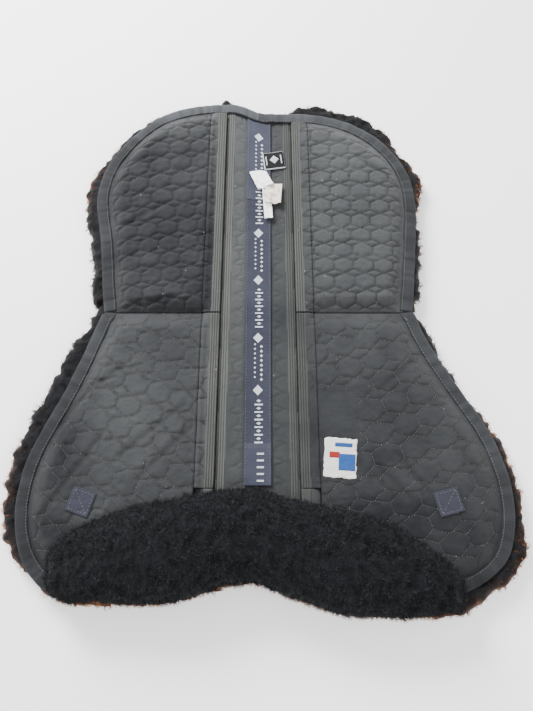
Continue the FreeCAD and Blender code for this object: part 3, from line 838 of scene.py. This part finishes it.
def make_panel(side_name, side):
    """Centre panel from the tape out to the slit, with the rib rows on its side of the slit."""
    front = box("spine_panel")[0][1]
    mesh = plan_mesh(np.array([(0, front), (slit_x(front) - 0.5, front), (slit_x(REAR_Y) - 0.5, REAR_Y - 3),
                               (0, REAR_Y - 3)]), 0.9)
    x, y = mesh[0].T
    away = slit_x(y) - x
    rib, band = ribs(away)
    puff, shade = puffs(side_name, "rear", x, y, np.minimum(away - 8, x - 13) * 1.4)
    lift = smooth(24, 35, x)
    top = PANEL_TOP - 0.7 + 1.6 * lift + puff * 0.45 * (1 - band) * smooth(14, 18, x) * (1 - lift) + rib
    top = top + 0.35 * noise(x / 15, y / 22, 0, 80 + side) * smooth(14, 19, x)
    top = np.where(x < 14, np.minimum(top, PANEL_TOP - 0.05), top)
    bottom = np.full(len(x), BASE_BOTTOM + 0.2) + 0.2 * lift
    plain = 0.5 + 0.25 * smooth(-60, 40, y) if side < 0 else 0.22 + 0.16 * smooth(60, 140, y)
    pale_share = plain * (1 - band) + RIB_FADE[side_name, "panel"] * band
    piece = cloth_layer(side_name + "_centre_cloth", mesh, top, bottom, rib_shade(0.55 + 0.45 * shade, rib, band),
                        "panel_cotton", side, pale_share)
    mark_ribs(piece, mesh[1], away)
    nodes = [side_name + "_rib_tape"] + (["spine_panel"] if side < 0 else [])
    finish_piece(piece, "panel_cotton", fold=side_name, nodes=nodes)


BINDING_SECTION = np.array([
    # outwards from the quilt's edge, height
    (-14.0, 25.5), (-12.2, 25.75), (-9.0, 25.6), (-6.0, 25.3), (-3.0, 24.9), (-1.0, 24.2), (0.4, 23.2), (1.0, 21.8),
    (0.7, 20.2), (-0.4, 19.1), (-3.0, 18.6), (-8.0, 18.4), (-14.0, 18.3),
    (-14.0, 19.0), (-8.0, 19.1), (-2.5, 19.4), (-0.6, 20.4), (-0.4, 22.0), (-1.6, 23.3), (-4.0, 23.9), (-9.0, 24.4),
    (-14.0, 24.5)])


def binding_piece(name, line, normals, side, seed):
    """Folded tape along a line: its mesh piece and its inner line of stitches."""
    lengths = lengths_along(line)
    profiles = np.repeat(BINDING_SECTION[None], len(line), axis=0).copy()
    number = np.arange(len(BINDING_SECTION))[None, :]
    upper = ((number <= 6) | (number >= 18)).astype(float)
    at = lengths[:, None]
    pucker = 0.5 * noise(at / 4.2, number * 0.05, 0, seed) + 0.3 * noise(at / 11, number * 0.1, 0, seed + 1)
    profiles[:, :, 1] += pucker * upper
    inner = (np.abs(BINDING_SECTION[:, 0] + 14) < 0.1)[None, :]
    profiles[:, :, 0] += inner * 0.7 * noise(at / 9, 0 * number, 0, seed + 2)
    profiles[:, :, 0] += 0.35 * noise(at / 14, 0 * number, 0, seed + 3)
    points, groups = sweep(line, profiles, normals)
    crown = np.repeat(0.75 + 0.25 * noise(lengths / 5, 0, 0, seed)[:, None], len(BINDING_SECTION), axis=1)
    # painted shade along the tape's inner edge, where it meets the cover
    crown[:, 0] = 0.35
    y = points[:, 1]
    if side > 0:
        # the last term darkens the tape towards the roll: painted shadow of the roll
        pale_share = 0.27 + 0.33 * smooth(240, 282, y) - 0.18 * (1 - smooth(-215, -165, y))
    else:
        pale_share = 0.09 + 0.1 * smooth(-150, -80, y) * (1 - smooth(10, 30, y)) + 0.78 * smooth(225, 282, y)
    piece = new_piece(name, points, groups, MATERIALS["edge_binding"], side,
                      {"crown": crown.ravel(), "paleness": pale_share})
    starts = (np.arange(int(lengths[-1] / 3.6)) + 0.2) * 3.6
    row = line - normals * 12.1
    ends = np.stack([np.column_stack([np.interp(at, lengths, row[:, k]) for k in (0, 1)])
                     for at in (starts, starts + 2.3)], axis=1)
    height = np.interp(starts + 1.1, lengths, profiles[:, 1, 1]) + 0.1
    return piece, stitch_mesh(name + "_thread", ends, height, "thread_pale", side, 0.9)


def make_bindings(side_name, side):
    waist = int(np.argmin(np.abs(EDGE[:, 1] - SEAM_Y) + 1000 * (EDGE[:, 0] < 100)))
    roll_end = box("right_roll")[1][0] - 6
    last = [i for i in range(waist, len(EDGE)) if EDGE[i][0] > roll_end][-1]
    centre = ["rear_binding_centre"] if side < 0 else []
    for end_name, line, upright, seed, where, extra in (
            ("rear", np.vstack([[(0, REAR_Y)], EDGE[:waist]]), 1, 100, {"fold": side_name}, centre),
            ("front", EDGE[waist - 1:last], 0, 110, {"body": side_name + "_side"}, [])):
        line = spaced(line, 1.4)
        normals = normals_of(line)
        if normals[0][upright] < 0:
            normals = -normals
        piece, thread = binding_piece(f"{side_name}_{end_name}_edge_tape", line, normals, side, seed + side)
        finish_piece(piece, "edge_binding", nodes=[f"{side_name}_{end_name}_binding"] + extra, **where)
        finish_piece(thread, "thread_pale", **where)


# ------------------------------------------------------------------ sheepskin

CLUMP_TURN = np.array([(0.8, 0.36, 0.48), (-0.6, 0.48, 0.64), (0.0, -0.8, 0.6)])
LOCK_RINGS = 5
LOCKS_PER_PIECE = 7500
THIRD_TURN = 2.0944


def clumps(points, seed, big=9.0, small=4.2):
    """Lumps of curly pile, as a height at each point."""
    x, y, z = CLUMP_TURN @ points.T
    first = 1 - np.abs(noise(x / big, y / big, z / big, seed)) * 2
    second = 1 - np.abs(noise(x / small, y / small, z / small, seed + 1)) * 2
    third = noise(x / 2.0, y / 2.0, z / 2.0, seed + 2)
    return 1.5 * first + 0.9 * second + 0.35 * third


def lock_faces():
    """Quads and end triangles of one lock, a three-sided tube."""
    quads = []
    for ring in range(LOCK_RINGS - 1):
        for corner in range(3):
            a, b = ring * 3 + corner, ring * 3 + (corner + 1) % 3
            quads.append((a, b, b + 3, a + 3))
    last = (LOCK_RINGS - 1) * 3
    return quads, [(0, 2, 1), (last, last + 1, last + 2)]


def grow_locks(name, roots, headings, tips, wild, length, seed, side, roll=False, **where):
    """Curly locks, in pieces of a size the export keeps, worked out on the right; where is for finish_piece."""
    rng = np.random.default_rng(seed + side)
    for part in range(0, len(roots), LOCKS_PER_PIECE):
        chunk = slice(part, part + LOCKS_PER_PIECE)
        root = roots[chunk] * (side, 1, 1)
        count = len(root)
        direction = unit(headings[chunk] * (side, 1, 1) + rng.normal(0, 1, (count, 3)) * wild[chunk, None])
        one = unit(np.cross(direction, rng.normal(0, 1, (count, 3))))
        two = np.cross(direction, one)
        size, radius, turns, phase, width = (rng.uniform(low, high, count)[:, None] for low, high in (
            (0.6, 1.25), (0.4, 1.3), (2.6, 5.6), (0, 6.28), (0.22, 0.46)))
        rows = []
        for ring in range(LOCK_RINGS):
            t = ring / (LOCK_RINGS - 1)
            angle = phase + turns * t
            centre = (root + direction * (length * size * t * 0.8) + one * (radius * (np.cos(angle) - np.cos(phase)))
                      + two * (radius * (np.sin(angle) - np.sin(phase))))
            thick = width * (1 - 0.65 * t)
            for turn in np.arange(3) * THIRD_TURN + ring * 0.3:
                rows.append(centre + one * (thick * math.cos(turn)) + two * (thick * math.sin(turn)))
        points = np.stack(rows, axis=1)
        points[:, :, 2] = np.maximum(points[:, :, 2], FLOOR_GAP)
        faces = [repeated(pattern, LOCK_RINGS * 3, count) for pattern in lock_faces()]
        share = np.repeat(np.linspace(0, 1, LOCK_RINGS) ** 0.9, 3)[None, :] * tips[chunk, None]
        shine = np.repeat((rng.uniform(0, 1, count) ** 3)[:, None], LOCK_RINGS * 3, axis=1)
        lock = new_piece("%s_%d" % (name, part // LOCKS_PER_PIECE), points.reshape(-1, 3), faces,
                         MATERIALS["sheepskin_lock"], 1, {"tip": share.ravel(), "pale": shine.ravel()}, roll=roll)
        finish_piece(lock, "sheepskin_lock", **where)


def roll_sections():
    """The roll's middle, half depth and height at places across it, from its CAD pieces."""
    cloud = np.array([vertex.co for node in ("roll_middle", "right_roll")
                      for vertex in frame["nodes"][node].data.vertices]) / MM
    table = []
    for x in list(np.arange(0, 196, 15.0)) + [202.0]:
        near = cloud[np.abs(cloud[:, 0] - x) < 6]
        low, high = near.min(axis=0), near.max(axis=0)
        table.append((x, (low[1] + high[1]) / 2, (high[1] - low[1]) / 2, high[2] - BASE_TOP))
    table.append((205.0,) + tuple(np.array(table[-1][1:]) * (1, 0.9, 0.9)))
    return np.array(table)


ROLL = roll_sections()
ROLL_FOLD = (4, 62)
ROLL_ROUND = 14


def make_roll(side_name, side):
    """Half of the roll, from the spine to its round end, and its locks."""
    end = ROLL[-1][0]
    round_from = end - ROLL_ROUND
    xs = np.concatenate([np.arange(0, round_from, 1.9), round_from + 18 * np.sin(np.linspace(0, math.pi / 2, 16))])
    count = 112
    angle = np.linspace(0, 2 * math.pi, count, endpoint=False)
    flat_x = np.minimum(xs, end)
    middle, depth, height = (np.interp(flat_x, ROLL[:, 0], ROLL[:, k]) for k in (1, 2, 3))
    depth = depth - (4.5 + (3.0 * smooth(125, 175, flat_x) if side > 0 else -3.5 * smooth(150, 185, flat_x)))
    height = height - 4.0
    close = np.sqrt(np.clip(1 - (np.clip(xs - round_from, 0, 18) / 18.2) ** 2, 0.0, 1))
    depth, height = (np.where(xs > round_from, np.interp(round_from, flat_x, size) * close, size)
                     for size in (depth, height))
    cos, sin = np.cos(angle), np.sin(angle)
    y = middle[:, None] + depth[:, None] * (np.sign(cos) * np.abs(cos) ** 0.8)[None, :]
    lift = np.where(sin > 0, np.abs(sin) ** 0.78, -0.06 * np.abs(sin))
    z = BASE_TOP + 1.0 + (height[:, None] - 2.0) * lift[None, :]
    points = np.stack([np.repeat(xs[:, None], count, axis=1), y, z], axis=2).reshape(-1, 3)
    normal = np.tile(np.column_stack([0 * cos, cos, np.maximum(sin, 0)]), (len(xs), 1))
    normal[:, 0] = 1.2 * smooth(end - 30, end + 4, points[:, 0]) ** 2
    normal = unit(normal)
    raise_by = 1.1 * clumps(points * (side, 1, 1), 200, 11.0, 5.0)
    points = points + normal * raise_by[:, None]
    points[:count, 0] = 0
    groups = [group[:, ::-1] for group in tube_faces(len(xs), count)]
    tip = 0.22 * smooth(0.8, 1.0, -normal[:, 1]) * (1 - smooth(BASE_TOP + 3, BASE_TOP + 12, points[:, 2]))
    # the raised lumps get the pale colour: painted highlight
    piece = new_piece(side_name + "_wool_roll", points, groups, MATERIALS["sheepskin"], side,
                      {"tip": tip, "pale": smooth(0.0, 3.0, raise_by) * 0.7}, roll=True)
    nodes = [side_name + "_roll"] + (["roll_middle"] if side < 0 else [])
    finish_piece(piece, "sheepskin", fold=side_name, nodes=nodes, width=ROLL_FOLD)
    rng = np.random.default_rng(300 + side)
    upper = np.nonzero((normal[:, 2] > 0.05) | (np.abs(normal[:, 1]) > 0.95))[0]
    upper = upper[points[upper, 2] > BASE_TOP + 0.5]
    total = 15000
    chosen = rng.choice(upper, total)
    roots = points[chosen] + rng.uniform(-0.9, 0.9, (total, 3)) - normal[chosen] * 1.0
    roots[:, 0] = np.maximum(roots[:, 0], 0.3)
    low_front = smooth(0.86, 1.0, -normal[chosen, 1]) * (1 - smooth(BASE_TOP + 4, BASE_TOP + 15, points[chosen, 2]))
    tips = np.clip(low_front * rng.uniform(-0.1, 1.5, total), 0, 1)
    grow_locks(side_name + "_roll_locks", roots, normal[chosen], tips, np.full(total, 0.7), 5.6, 310, side, True,
               fold=side_name, width=ROLL_FOLD)


def lining_margin(side, line):
    """How far the fleece stands out past the quilt's edge, round the edge."""
    y, x = line[:, 1], line[:, 0]
    if side < 0:
        waist = 7.0 * smooth(-210, -160, y) * (1 - smooth(-30, 10, y))
        toe = -11.0 * (1 - smooth(-262, -215, y))
        rear = 3.5 * smooth(40, 120, y) * (1 - smooth(170, 210, y))
        tuft = 12.0 * np.exp(-((x - 43) / 7) ** 2) * smooth(240, 270, y)
        return 14.0 + waist + toe + rear + tuft - 11.0 * (1 - smooth(105, 170, x)) * smooth(190, 240, y)
    rear = smooth(38, 50, x) * (1 - smooth(150, 175, x)) * smooth(200, 230, y)
    corner = smooth(165, 180, x) * smooth(165, 190, y)
    toe = 9.0 * (1 - smooth(-235, -200, y)) * smooth(150, 200, x)
    return 7.0 + 5.0 * (1 - smooth(-180, -60, y)) + 11.0 * rear + 11.0 * corner + toe


def make_lining(side_name, side):
    inner = box("right_lining")[0][0]
    line = EDGE + OUT * lining_margin(side, EDGE)[:, None]
    lengths = np.arange(len(line)) * 2.0
    ragged = 2.6 * noise(lengths / 19, 0, 0, 400 + side)
    ragged = ragged + 2.8 * (1 - 2 * np.abs(noise(lengths / 8, 0, 0, 401 + side)))
    ragged = ragged + 2.6 * noise(lengths / 42, 0, 0, 402 + side)
    line = line + OUT * ragged[:, None]
    line = np.vstack([[(inner, line[0][1])], line[1:-1], [(inner, line[-1][1])]])
    line[:, 0] = np.maximum(line[:, 0], inner)
    plan, faces, border = plan_mesh(line, 2.0)
    away = distance_to(plan, looped(line))
    thick = BASE_BOTTOM / 2
    share = np.clip(away / 9.0, 0, 1)
    half = thick * np.sqrt(np.clip(1 - (1 - share) ** 2, 0.02, 1))
    outside = ~inside(plan, np.vstack([EDGE - OUT * 3, [(30, EDGE[-1][1])], [(30, EDGE[0][1])]]))
    top, bottom = thick + half, thick - half
    lumps = clumps(np.column_stack([plan * (side, 1), top]), 410)
    top = top + np.where(outside, lumps * 1.1 + 1.0, -0.6)
    below = np.abs(clumps(np.column_stack([plan * (side, 1), bottom * 0 + 60]), 420))
    bottom = np.maximum(bottom + below * 0.7, FLOOR_GAP)
    points, groups = shell(plan, faces, border, top, bottom)
    patchy = 0.5 + 0.6 * noise(plan[:, 0] / 5, plan[:, 1] / 5, 0, 405)
    glow = 0.38 * np.clip(brown_share(side, plan) * np.exp(-away / 3.0) * patchy, 0, 1)
    shine = np.concatenate([smooth(-1, 3, lumps) * 0.5, glow * 0])
    piece = new_piece(side_name + "_fleece", points, groups, MATERIALS["sheepskin"], side,
                      {"tip": np.concatenate([glow, glow]), "pale": shine})
    finish_piece(piece, "sheepskin", side_name + "_side", nodes=[side_name + "_lining"])
    rng = np.random.default_rng(430 + side)
    total = 8500
    chosen = rng.choice(np.nonzero(outside)[0], total)
    level = rng.uniform(-0.75, 1.0, total)
    roots = np.column_stack([plan[chosen], thick + level * half[chosen]])
    roots[:, :2] += rng.uniform(-1.2, 1.2, (total, 2))
    nearest = distance_to(plan[chosen], EDGE, nearest=True)
    outward = unit(plan[chosen] - nearest)
    heading = unit(np.column_stack([outward * (0.4 + np.exp(-away[chosen] / 4))[:, None], 0.55 * level + 0.25]))
    brown = brown_share(side, plan[chosen]) * np.exp(-away[chosen] / 6.0)
    tips = np.clip(brown * rng.uniform(0.2, 2.8, total), 0, 1)
    wild = np.full(total, 0.6)
    # locks along the rim gather into pointed tufts
    stations = line[1:-1][rng.uniform(0, 1, len(line) - 2) < 0.42]
    push = unit(stations - distance_to(stations, EDGE, nearest=True))
    fronds = stations + push * rng.uniform(1.5, 6.0, len(stations))[:, None] + rng.normal(0, 1.2, stations.shape)
    frond_height = rng.uniform(2.0, 13.0, len(fronds))
    gaps = np.linalg.norm(roots[:, None, :2] - fronds[None], axis=2)
    near = np.argmin(gaps, axis=1)
    gathered = gaps[np.arange(total), near] < 7.5
    aim = unit(np.column_stack([fronds[near], frond_height[near]]) - roots)
    heading[gathered] = aim[gathered]
    wild[gathered] = 0.16
    tips[gathered] = np.clip(tips[gathered] * 1.3, 0, 1)
    grow_locks(side_name + "_fleece_locks", roots, heading, tips, wild, 6.4, 440, side, body=side_name + "_side")


def brown_share(side, plan):
    """How sun-bleached the fleece is at a place."""
    y = plan[:, 1]
    if side < 0:
        return 0.12 + 1.05 * (1 - smooth(-190, -90, y)) + 0.8 * smooth(140, 185, y) * (1 - smooth(225, 258, y))
    return 0.12 + 1.15 * (1 - smooth(-150, -60, y)) + 1.1 * smooth(140, 190, y) * (1 - smooth(225, 262, y))


# ------------------------------------------------------- tape, labels and tags

def patch_mesh(corners, step):
    """A quad mesh over a four-cornered plan patch, like plan_mesh."""
    a, b, c, d = np.array(corners, float)
    wide = max(3, int(np.linalg.norm(b - a) / step) + 1)
    tall = max(3, int(np.linalg.norm(d - a) / step) + 1)
    u, v = np.meshgrid(np.linspace(0, 1, wide), np.linspace(0, 1, tall))
    u, v = u.ravel()[:, None], v.ravel()[:, None]
    points = a * (1 - u) * (1 - v) + b * u * (1 - v) + c * u * v + d * (1 - u) * v
    rows, columns = np.meshgrid(np.arange(tall - 1), np.arange(wide - 1), indexing="ij")
    corner = (rows * wide + columns).ravel()
    faces = np.column_stack([corner, corner + 1, corner + 1 + wide, corner + wide])
    return points, faces, border_of(faces, len(points))


def soft_plate(name, corners, step, top_at, thickness, material, side=1, crown=0.8, paleness=0.35):
    """A thin cloth plate over a plan polygon, its top following a surface."""
    mesh = (patch_mesh if len(corners) == 4 else plan_mesh)(np.array(corners, float), step)
    top = top_at(*mesh[0].T)
    points, groups = shell(*mesh, top, top - thickness)
    return new_piece(name, points, groups, MATERIALS[material], side,
                     {"crown": np.full(len(points), crown), "paleness": np.full(len(points), paleness)})


def turned(centre, width, length, degrees):
    """Corners of a rectangle turned about the upright axis."""
    cos, sin = math.cos(math.radians(degrees)), math.sin(math.radians(degrees))
    corners = []
    for sx, sy in ((-1, -1), (1, -1), (1, 1), (-1, 1)):
        dx, dy = sx * width / 2, sy * length / 2
        corners.append((centre[0] + cos * dx - sin * dy, centre[1] + sin * dx + cos * dy))
    return corners


def make_tape():
    for part, lift, paleness in (("rear", 0.5, 0.5), ("middle", 0.0, 0.24), ("front", 0.6, 0.5)):
        low, high = box("spine_tape_" + part)
        y0, y1 = low[1] - 5 * (part == "rear"), high[1] + 5 * (part == "front")

        def top_at(x, y):
            return TAPE_TOP + lift * 0.6 + 0.35 * smooth(12.6, 14.0, np.abs(x)) + tape_ripple(x, y)

        piece = soft_plate("spine_tape_%s_cloth" % part, [(low[0], y0), (high[0], y0), (high[0], y1), (low[0], y1)],
                           1.2, top_at, 1.1, "spine_webbing", crown=0.95, paleness=paleness)
        finish_piece(piece, "spine_webbing", "spine", nodes=["spine_tape_" + part])
        rows = [((x, y), (x, y + 2.2)) for x in (-13.2, 13.2) for y in np.arange(y0 + 1, y1 - 3, 3.4)]
        across = {"rear": (low[1] - 3, low[1] - 1), "middle": (), "front": (high[1] + 1, high[1] + 3)}
        rows += [((x, y), (x + 2.0, y)) for y in across[part] for x in np.arange(-13, 12, 3.0)]
        ends = np.array(rows, float)
        height = top_at(ends[:, 0, 0], ends[:, 0, 1]) + 0.08
        thread = stitch_mesh("spine_tape_%s_thread" % part, ends, height, "thread_pale", 1, 0.6)
        finish_piece(thread, "thread_pale", "spine")


def tape_ripple(x, y):
    return 0.22 * noise(x / 6, y / 9, 0, 500) + 0.3 * noise(x / 30, y / 26, 0, 501)


def make_tape_marks():
    """A plain woven ornament of lozenges and bars along the tape."""
    shapes = []

    def add(corners, x, y, wide, long):
        shapes.append(np.array(corners) * (wide / 2, long / 2) + (x, y))

    lozenge, bar = [(0, -1), (1, 0), (0, 1), (-1, 0)], [(-1, -1), (1, -1), (1, 1), (-1, 1)]
    y = -128.0
    while y < 262:
        for k in range(6):
            add(bar, 1.0, y + k * 8.2, 9.0, 1.7)
            add(lozenge, 1.0, y + k * 8.2 + 4.1, 5.2, 3.2)
        y += 52
        if y >= 262:
            break
        add(lozenge, 0, y + 5, 11, 12)
        y += 17
        for k in range(8):
            add(lozenge, 3.8, y + k * 5.4, 3.4, 3.6)
            add(lozenge, -3.4, y + k * 5.4 + 2.7, 2.6, 2.8)
        y += 46
        add(lozenge, 0, y + 2, 11, 12)
        y += 15
    for k in range(5):
        add(bar, 3.0, -168 + k * 7.0, 7.5, 2.0)
    shapes = np.array(shapes)
    points = np.stack([np.dstack([shapes, np.full(shapes.shape[:2], TAPE_TOP + z)]) for z in (0.55, 0.2)],
                      axis=1).reshape(-1, 3)
    faces = [(0, 1, 2, 3), (7, 6, 5, 4), (1, 0, 4, 5), (2, 1, 5, 6), (3, 2, 6, 7), (0, 3, 7, 4)]
    x, y = points[:, 0], points[:, 1]
    points[:, 2] += tape_ripple(x, y) + 0.35 * ((y > 162) | (y < -130))
    piece = new_piece("spine_tape_ornament", points, [repeated(faces, 8, len(shapes))], MATERIALS["woven_mark"], 1,
                      {"crown": np.full(len(points), 0.85)}, flat=True)
    finish_piece(piece, "woven_mark", "spine")


def sewn_patch(name, centre, shift, size, turn, step, surface, thickness, material, body, slot=None, **more):
    """A small turned rectangle of cloth sewn on over a surface."""
    piece = soft_plate(name, turned(centre + (*shift, 0), *size, turn), step, surface, thickness, material)
    finish_piece(piece, slot or material, body, **more)


def make_woven_label():
    """Black woven label on the tape."""
    low, high = box("size_label")
    centre = (low + high) / 2 + (4.5, 1.5, 0)

    def raised(lift):
        return lambda x, y: high[2] + 0.8 + 0.5 * noise(x / 12, y / 10, 0, 520) + lift

    sewn_patch("woven_label_ground", centre, (0, 0), (26, 23.5), 8, 1.2, raised(0), 0.9, "woven_mark", "spine",
               "tag_white", nodes=["size_label"])
    sewn_patch("woven_label_face", centre, (0.5, 0.6), (24.4, 21.6), 8, 1.2, raised(0.25), 0.6,
               "woven_label", "spine")
    for number, (shift, size, turn) in enumerate((((0.5, 1), (8.0, 8.0), 53), ((9.0, 2), (1.4, 12), 8),
                                                  ((-9.0, -1), (1.4, 12), 8))):
        sewn_patch("woven_label_mark_%d" % number, centre, shift, size, turn, 1.0, raised(0.45), 0.4,
                   "woven_mark", "spine")


CARE_TAGS = {
    # material, size of the crumples, height, middle, width, length, turn
    "care_tag_narrow": ("tag_white", 5, 4.0, (10.2, 165), 10, 56, 4),
    "care_tag_wide": ("tag_pink", 7, 5.5, (17.6, 170), 20, 27, -4),
    "care_tag_short": ("tag_white", 9, 5.0, (3.4, 189.5), 21.5, 26, 25),
}


def make_care_tags():
    """Crumpled care tags."""
    for layer, (node, (material, wave, tall, middle, wide, long, turn)) in enumerate(CARE_TAGS.items()):
        _, high = box(node)

        def crumple(x, y):
            free = smooth(1, 26, high[1] - y)
            fold = 1 - np.abs(noise(x / 9 + layer, (y + x * 0.6) / wave, 0, 530 + layer)) * 1.6
            crisp = 0.7 * noise(x / 4.2, y / 2.8, 0, 535 + layer)
            lift = 0.6 * free + layer * 0.9 * free
            return high[2] - 0.1 + lift + tall * free * (0.35 + 0.45 * fold) + crisp * free

        corners = clipped(np.array(turned(middle, wide, long, turn)), (0, high[1] - 0.3), (0, -1))
        piece = soft_plate(node + "_cloth", corners, 0.8, crumple, 0.3, material)
        finish_piece(piece, material, "care_tags", nodes=[node])


def make_white_label():
    """White sewn label on the right front pocket, with a ragged edge and plain blocks on it."""
    low, high = box("sewn_label")
    centre = (low + high) / 2

    def on_cover(lift):
        return lambda x, y: cover_top("right", "front", x, y)[0] + lift

    ragged = []
    corners = turned(centre, 32, 41, -4)
    for (ax, ay), (bx, by) in zip(corners, corners[1:] + corners[:1]):
        for share in np.arange(14) / 14:
            wobble = 0.9 * float(noise(ax + share * 17, ay + share * 13, 0, 540))
            ragged.append((ax + (bx - ax) * share + wobble, ay + (by - ay) * share + wobble))
    piece = soft_plate("white_label", ragged, 1.2, on_cover(0.9), 0.6, "label_white")
    finish_piece(piece, "label_white", "right_side", nodes=["sewn_label"])
    for tag, material, shift, size in (("blue", "label_blue", (6.5, -4.5), (16, 17)),
                                       ("red", "label_red", (-5.5, 3.5), (10, 6)),
                                       ("blue_bar", "label_blue", (4, 13.5), (17, 4))):
        sewn_patch("white_label_" + tag, centre, shift, size, -4, 1.2, on_cover(1.2), 0.5, material, "right_side")


def make_anchors(side_name, side):
    """Webbing square with a boxed cross of stitches."""
    low, high = box(side_name + "_strap_anchor")
    centre = (low + high) / 2 * (side, 1, 1)
    turn = 15 if side > 0 else 19

    def drape(x, y):
        return 0.45 * cover_top(side_name, "front", x, y)[0] + 0.55 * (COVER_TOP - 0.6) + 1.2

    piece = soft_plate(side_name + "_strap_square", turned(centre, 25, 25, turn), 1.0, drape, 1.4,
                       "anchor_webbing", side)
    finish_piece(piece, "anchor_webbing", side_name + "_side", nodes=[side_name + "_strap_anchor"])
    rows = []
    inner = np.array(turned(centre, 20, 20, turn))
    for a, b in inner[[(0, 1), (1, 2), (2, 3), (3, 0), (0, 2)]]:
        count = int(np.linalg.norm(b - a) / 3.2)
        rows += [[a + (b - a) * (k + share) / count for share in (0.15, 0.85)] for k in range(count)]
    ends = np.array(rows)
    height = drape(ends[:, 0, 0], ends[:, 0, 1]) + 0.15
    thread = stitch_mesh(side_name + "_strap_square_thread", ends, height, "thread_pale", side, 0.7)
    finish_piece(thread, "thread_pale", side_name + "_side")


INSERT_TRAVEL = 50.0


def make_inserts(side_name, side):
    """Felt inserts with softened edges."""
    for end_name in ("rear", "front"):
        for kind in ("full", "half"):
            node = "%s_%s_%s_insert" % (side_name, end_name, kind)
            low, high = box(node)
            outline = plan_outline(node)
            outline[:, 0] = np.abs(outline[:, 0])
            outline = spaced(looped(outline), 2.0)
            mesh = plan_mesh(outline[:-1], 2.5)
            x, y = mesh[0].T
            away = distance_to(mesh[0], outline)
            half = (high[2] - low[2]) / 2
            edge = 1 - np.clip(away / 2.5, 0, 1)
            round_off = half * (1 - np.sqrt(np.clip(1 - edge ** 2, 0.05, 1)))
            # the felt passes under the cover all the way out
            room = np.full(len(x), POCKET_CEILING)
            for slid in np.arange(-3, INSERT_TRAVEL + 4, 6):
                over = cover_underside(side_name, end_name, x - slid, y)
                room = np.minimum(room, np.where(x - slid > hinge_x(y) + 1, over - 0.8, room))
            top = np.minimum(high[2] - round_off - 0.15 + 0.12 * noise(x / 3, y / 3, 0, 600), room)
            bottom = np.minimum(low[2] + round_off, top - 0.8)
            points, groups = shell(*mesh, top, bottom)
            piece = new_piece(node + "_felt", points, groups, MATERIALS["felt_insert"], side,
                              {"crown": np.full(len(points), 0.8)})
            finish_piece(piece, "felt_insert", f"{side_name}_{end_name}_inserts", nodes=[node])


make_tape()
make_tape_marks()
make_woven_label()
make_care_tags()
make_white_label()
for side_name, side in SIDES.items():
    make_base(side_name, side)
    make_panel(side_name, side)
    make_covers(side_name, side)
    make_flaps(side_name, side)
    make_bindings(side_name, side)
    make_lining(side_name, side)
    make_roll(side_name, side)
    make_anchors(side_name, side)
    make_inserts(side_name, side)

for name, node in frame["nodes"].items():
    if not node.hide_render:
        key = "hook_and_loop" if "strip" in name else "quilted_cotton"
        node.data.materials.clear()
        node.data.materials.append(MATERIALS[key])


# ------------------------------------------------------- floor, light, camera

FLOOR_SIZE = 6000
CAMERA_TILT = math.radians(15)


def make_stage():
    made = Shader("pale_floor", 0.9)
    tone = made.mix(made.noise(2.0), (0.93, 0.93, 0.93, 1), (0.96, 0.96, 0.96, 1))
    made.fill(made.main.inputs["Base Color"], tone)
    corners = [(x * FLOOR_SIZE, y * FLOOR_SIZE, 0) for x, y in ((-1, -1), (1, -1), (1, 1), (-1, 1))]
    new_piece("floor", corners, [[(0, 1, 2, 3)]], made.material, roll=True)


def add_light(name, place, target, size, power, tint=(1, 1, 1)):
    light = bpy.data.lights.new(name, "AREA")
    light.shape = "DISK"
    light.size = size
    light.energy = power
    light.color = tint
    item = bpy.data.objects.new(name, light)
    item.location = place
    item.rotation_euler = (Vector(target) - Vector(place)).to_track_quat("-Z", "Y").to_euler()
    bpy.context.scene.collection.objects.link(item)


def make_light():
    world = bpy.data.worlds.new("studio")
    bpy.context.scene.world = world
    world.use_nodes = True
    background = world.node_tree.nodes["Background"]
    background.inputs["Color"].default_value = (1, 1, 1, 1)
    background.inputs["Strength"].default_value = 1.65
    add_light("key", (-0.75, 1.15, 1.0), (0, 0, 0), 0.7, 82)
    add_light("fill", (1.0, -0.8, 1.3), (0, 0, 0), 1.4, 20)


def make_camera():
    data = bpy.data.cameras.new("camera")
    data.sensor_width = 36.0
    data.lens = 27.04
    data.clip_start = 0.01
    camera = bpy.data.objects.new("camera", data)
    camera.location = (0.0095, -0.186, 0.600)
    forward = Vector((0, math.sin(CAMERA_TILT), -math.cos(CAMERA_TILT)))
    camera.rotation_euler = forward.to_track_quat("-Z", "Y").to_euler()
    bpy.context.scene.collection.objects.link(camera)
    bpy.context.scene.camera = camera


make_stage()
make_light()
make_camera()
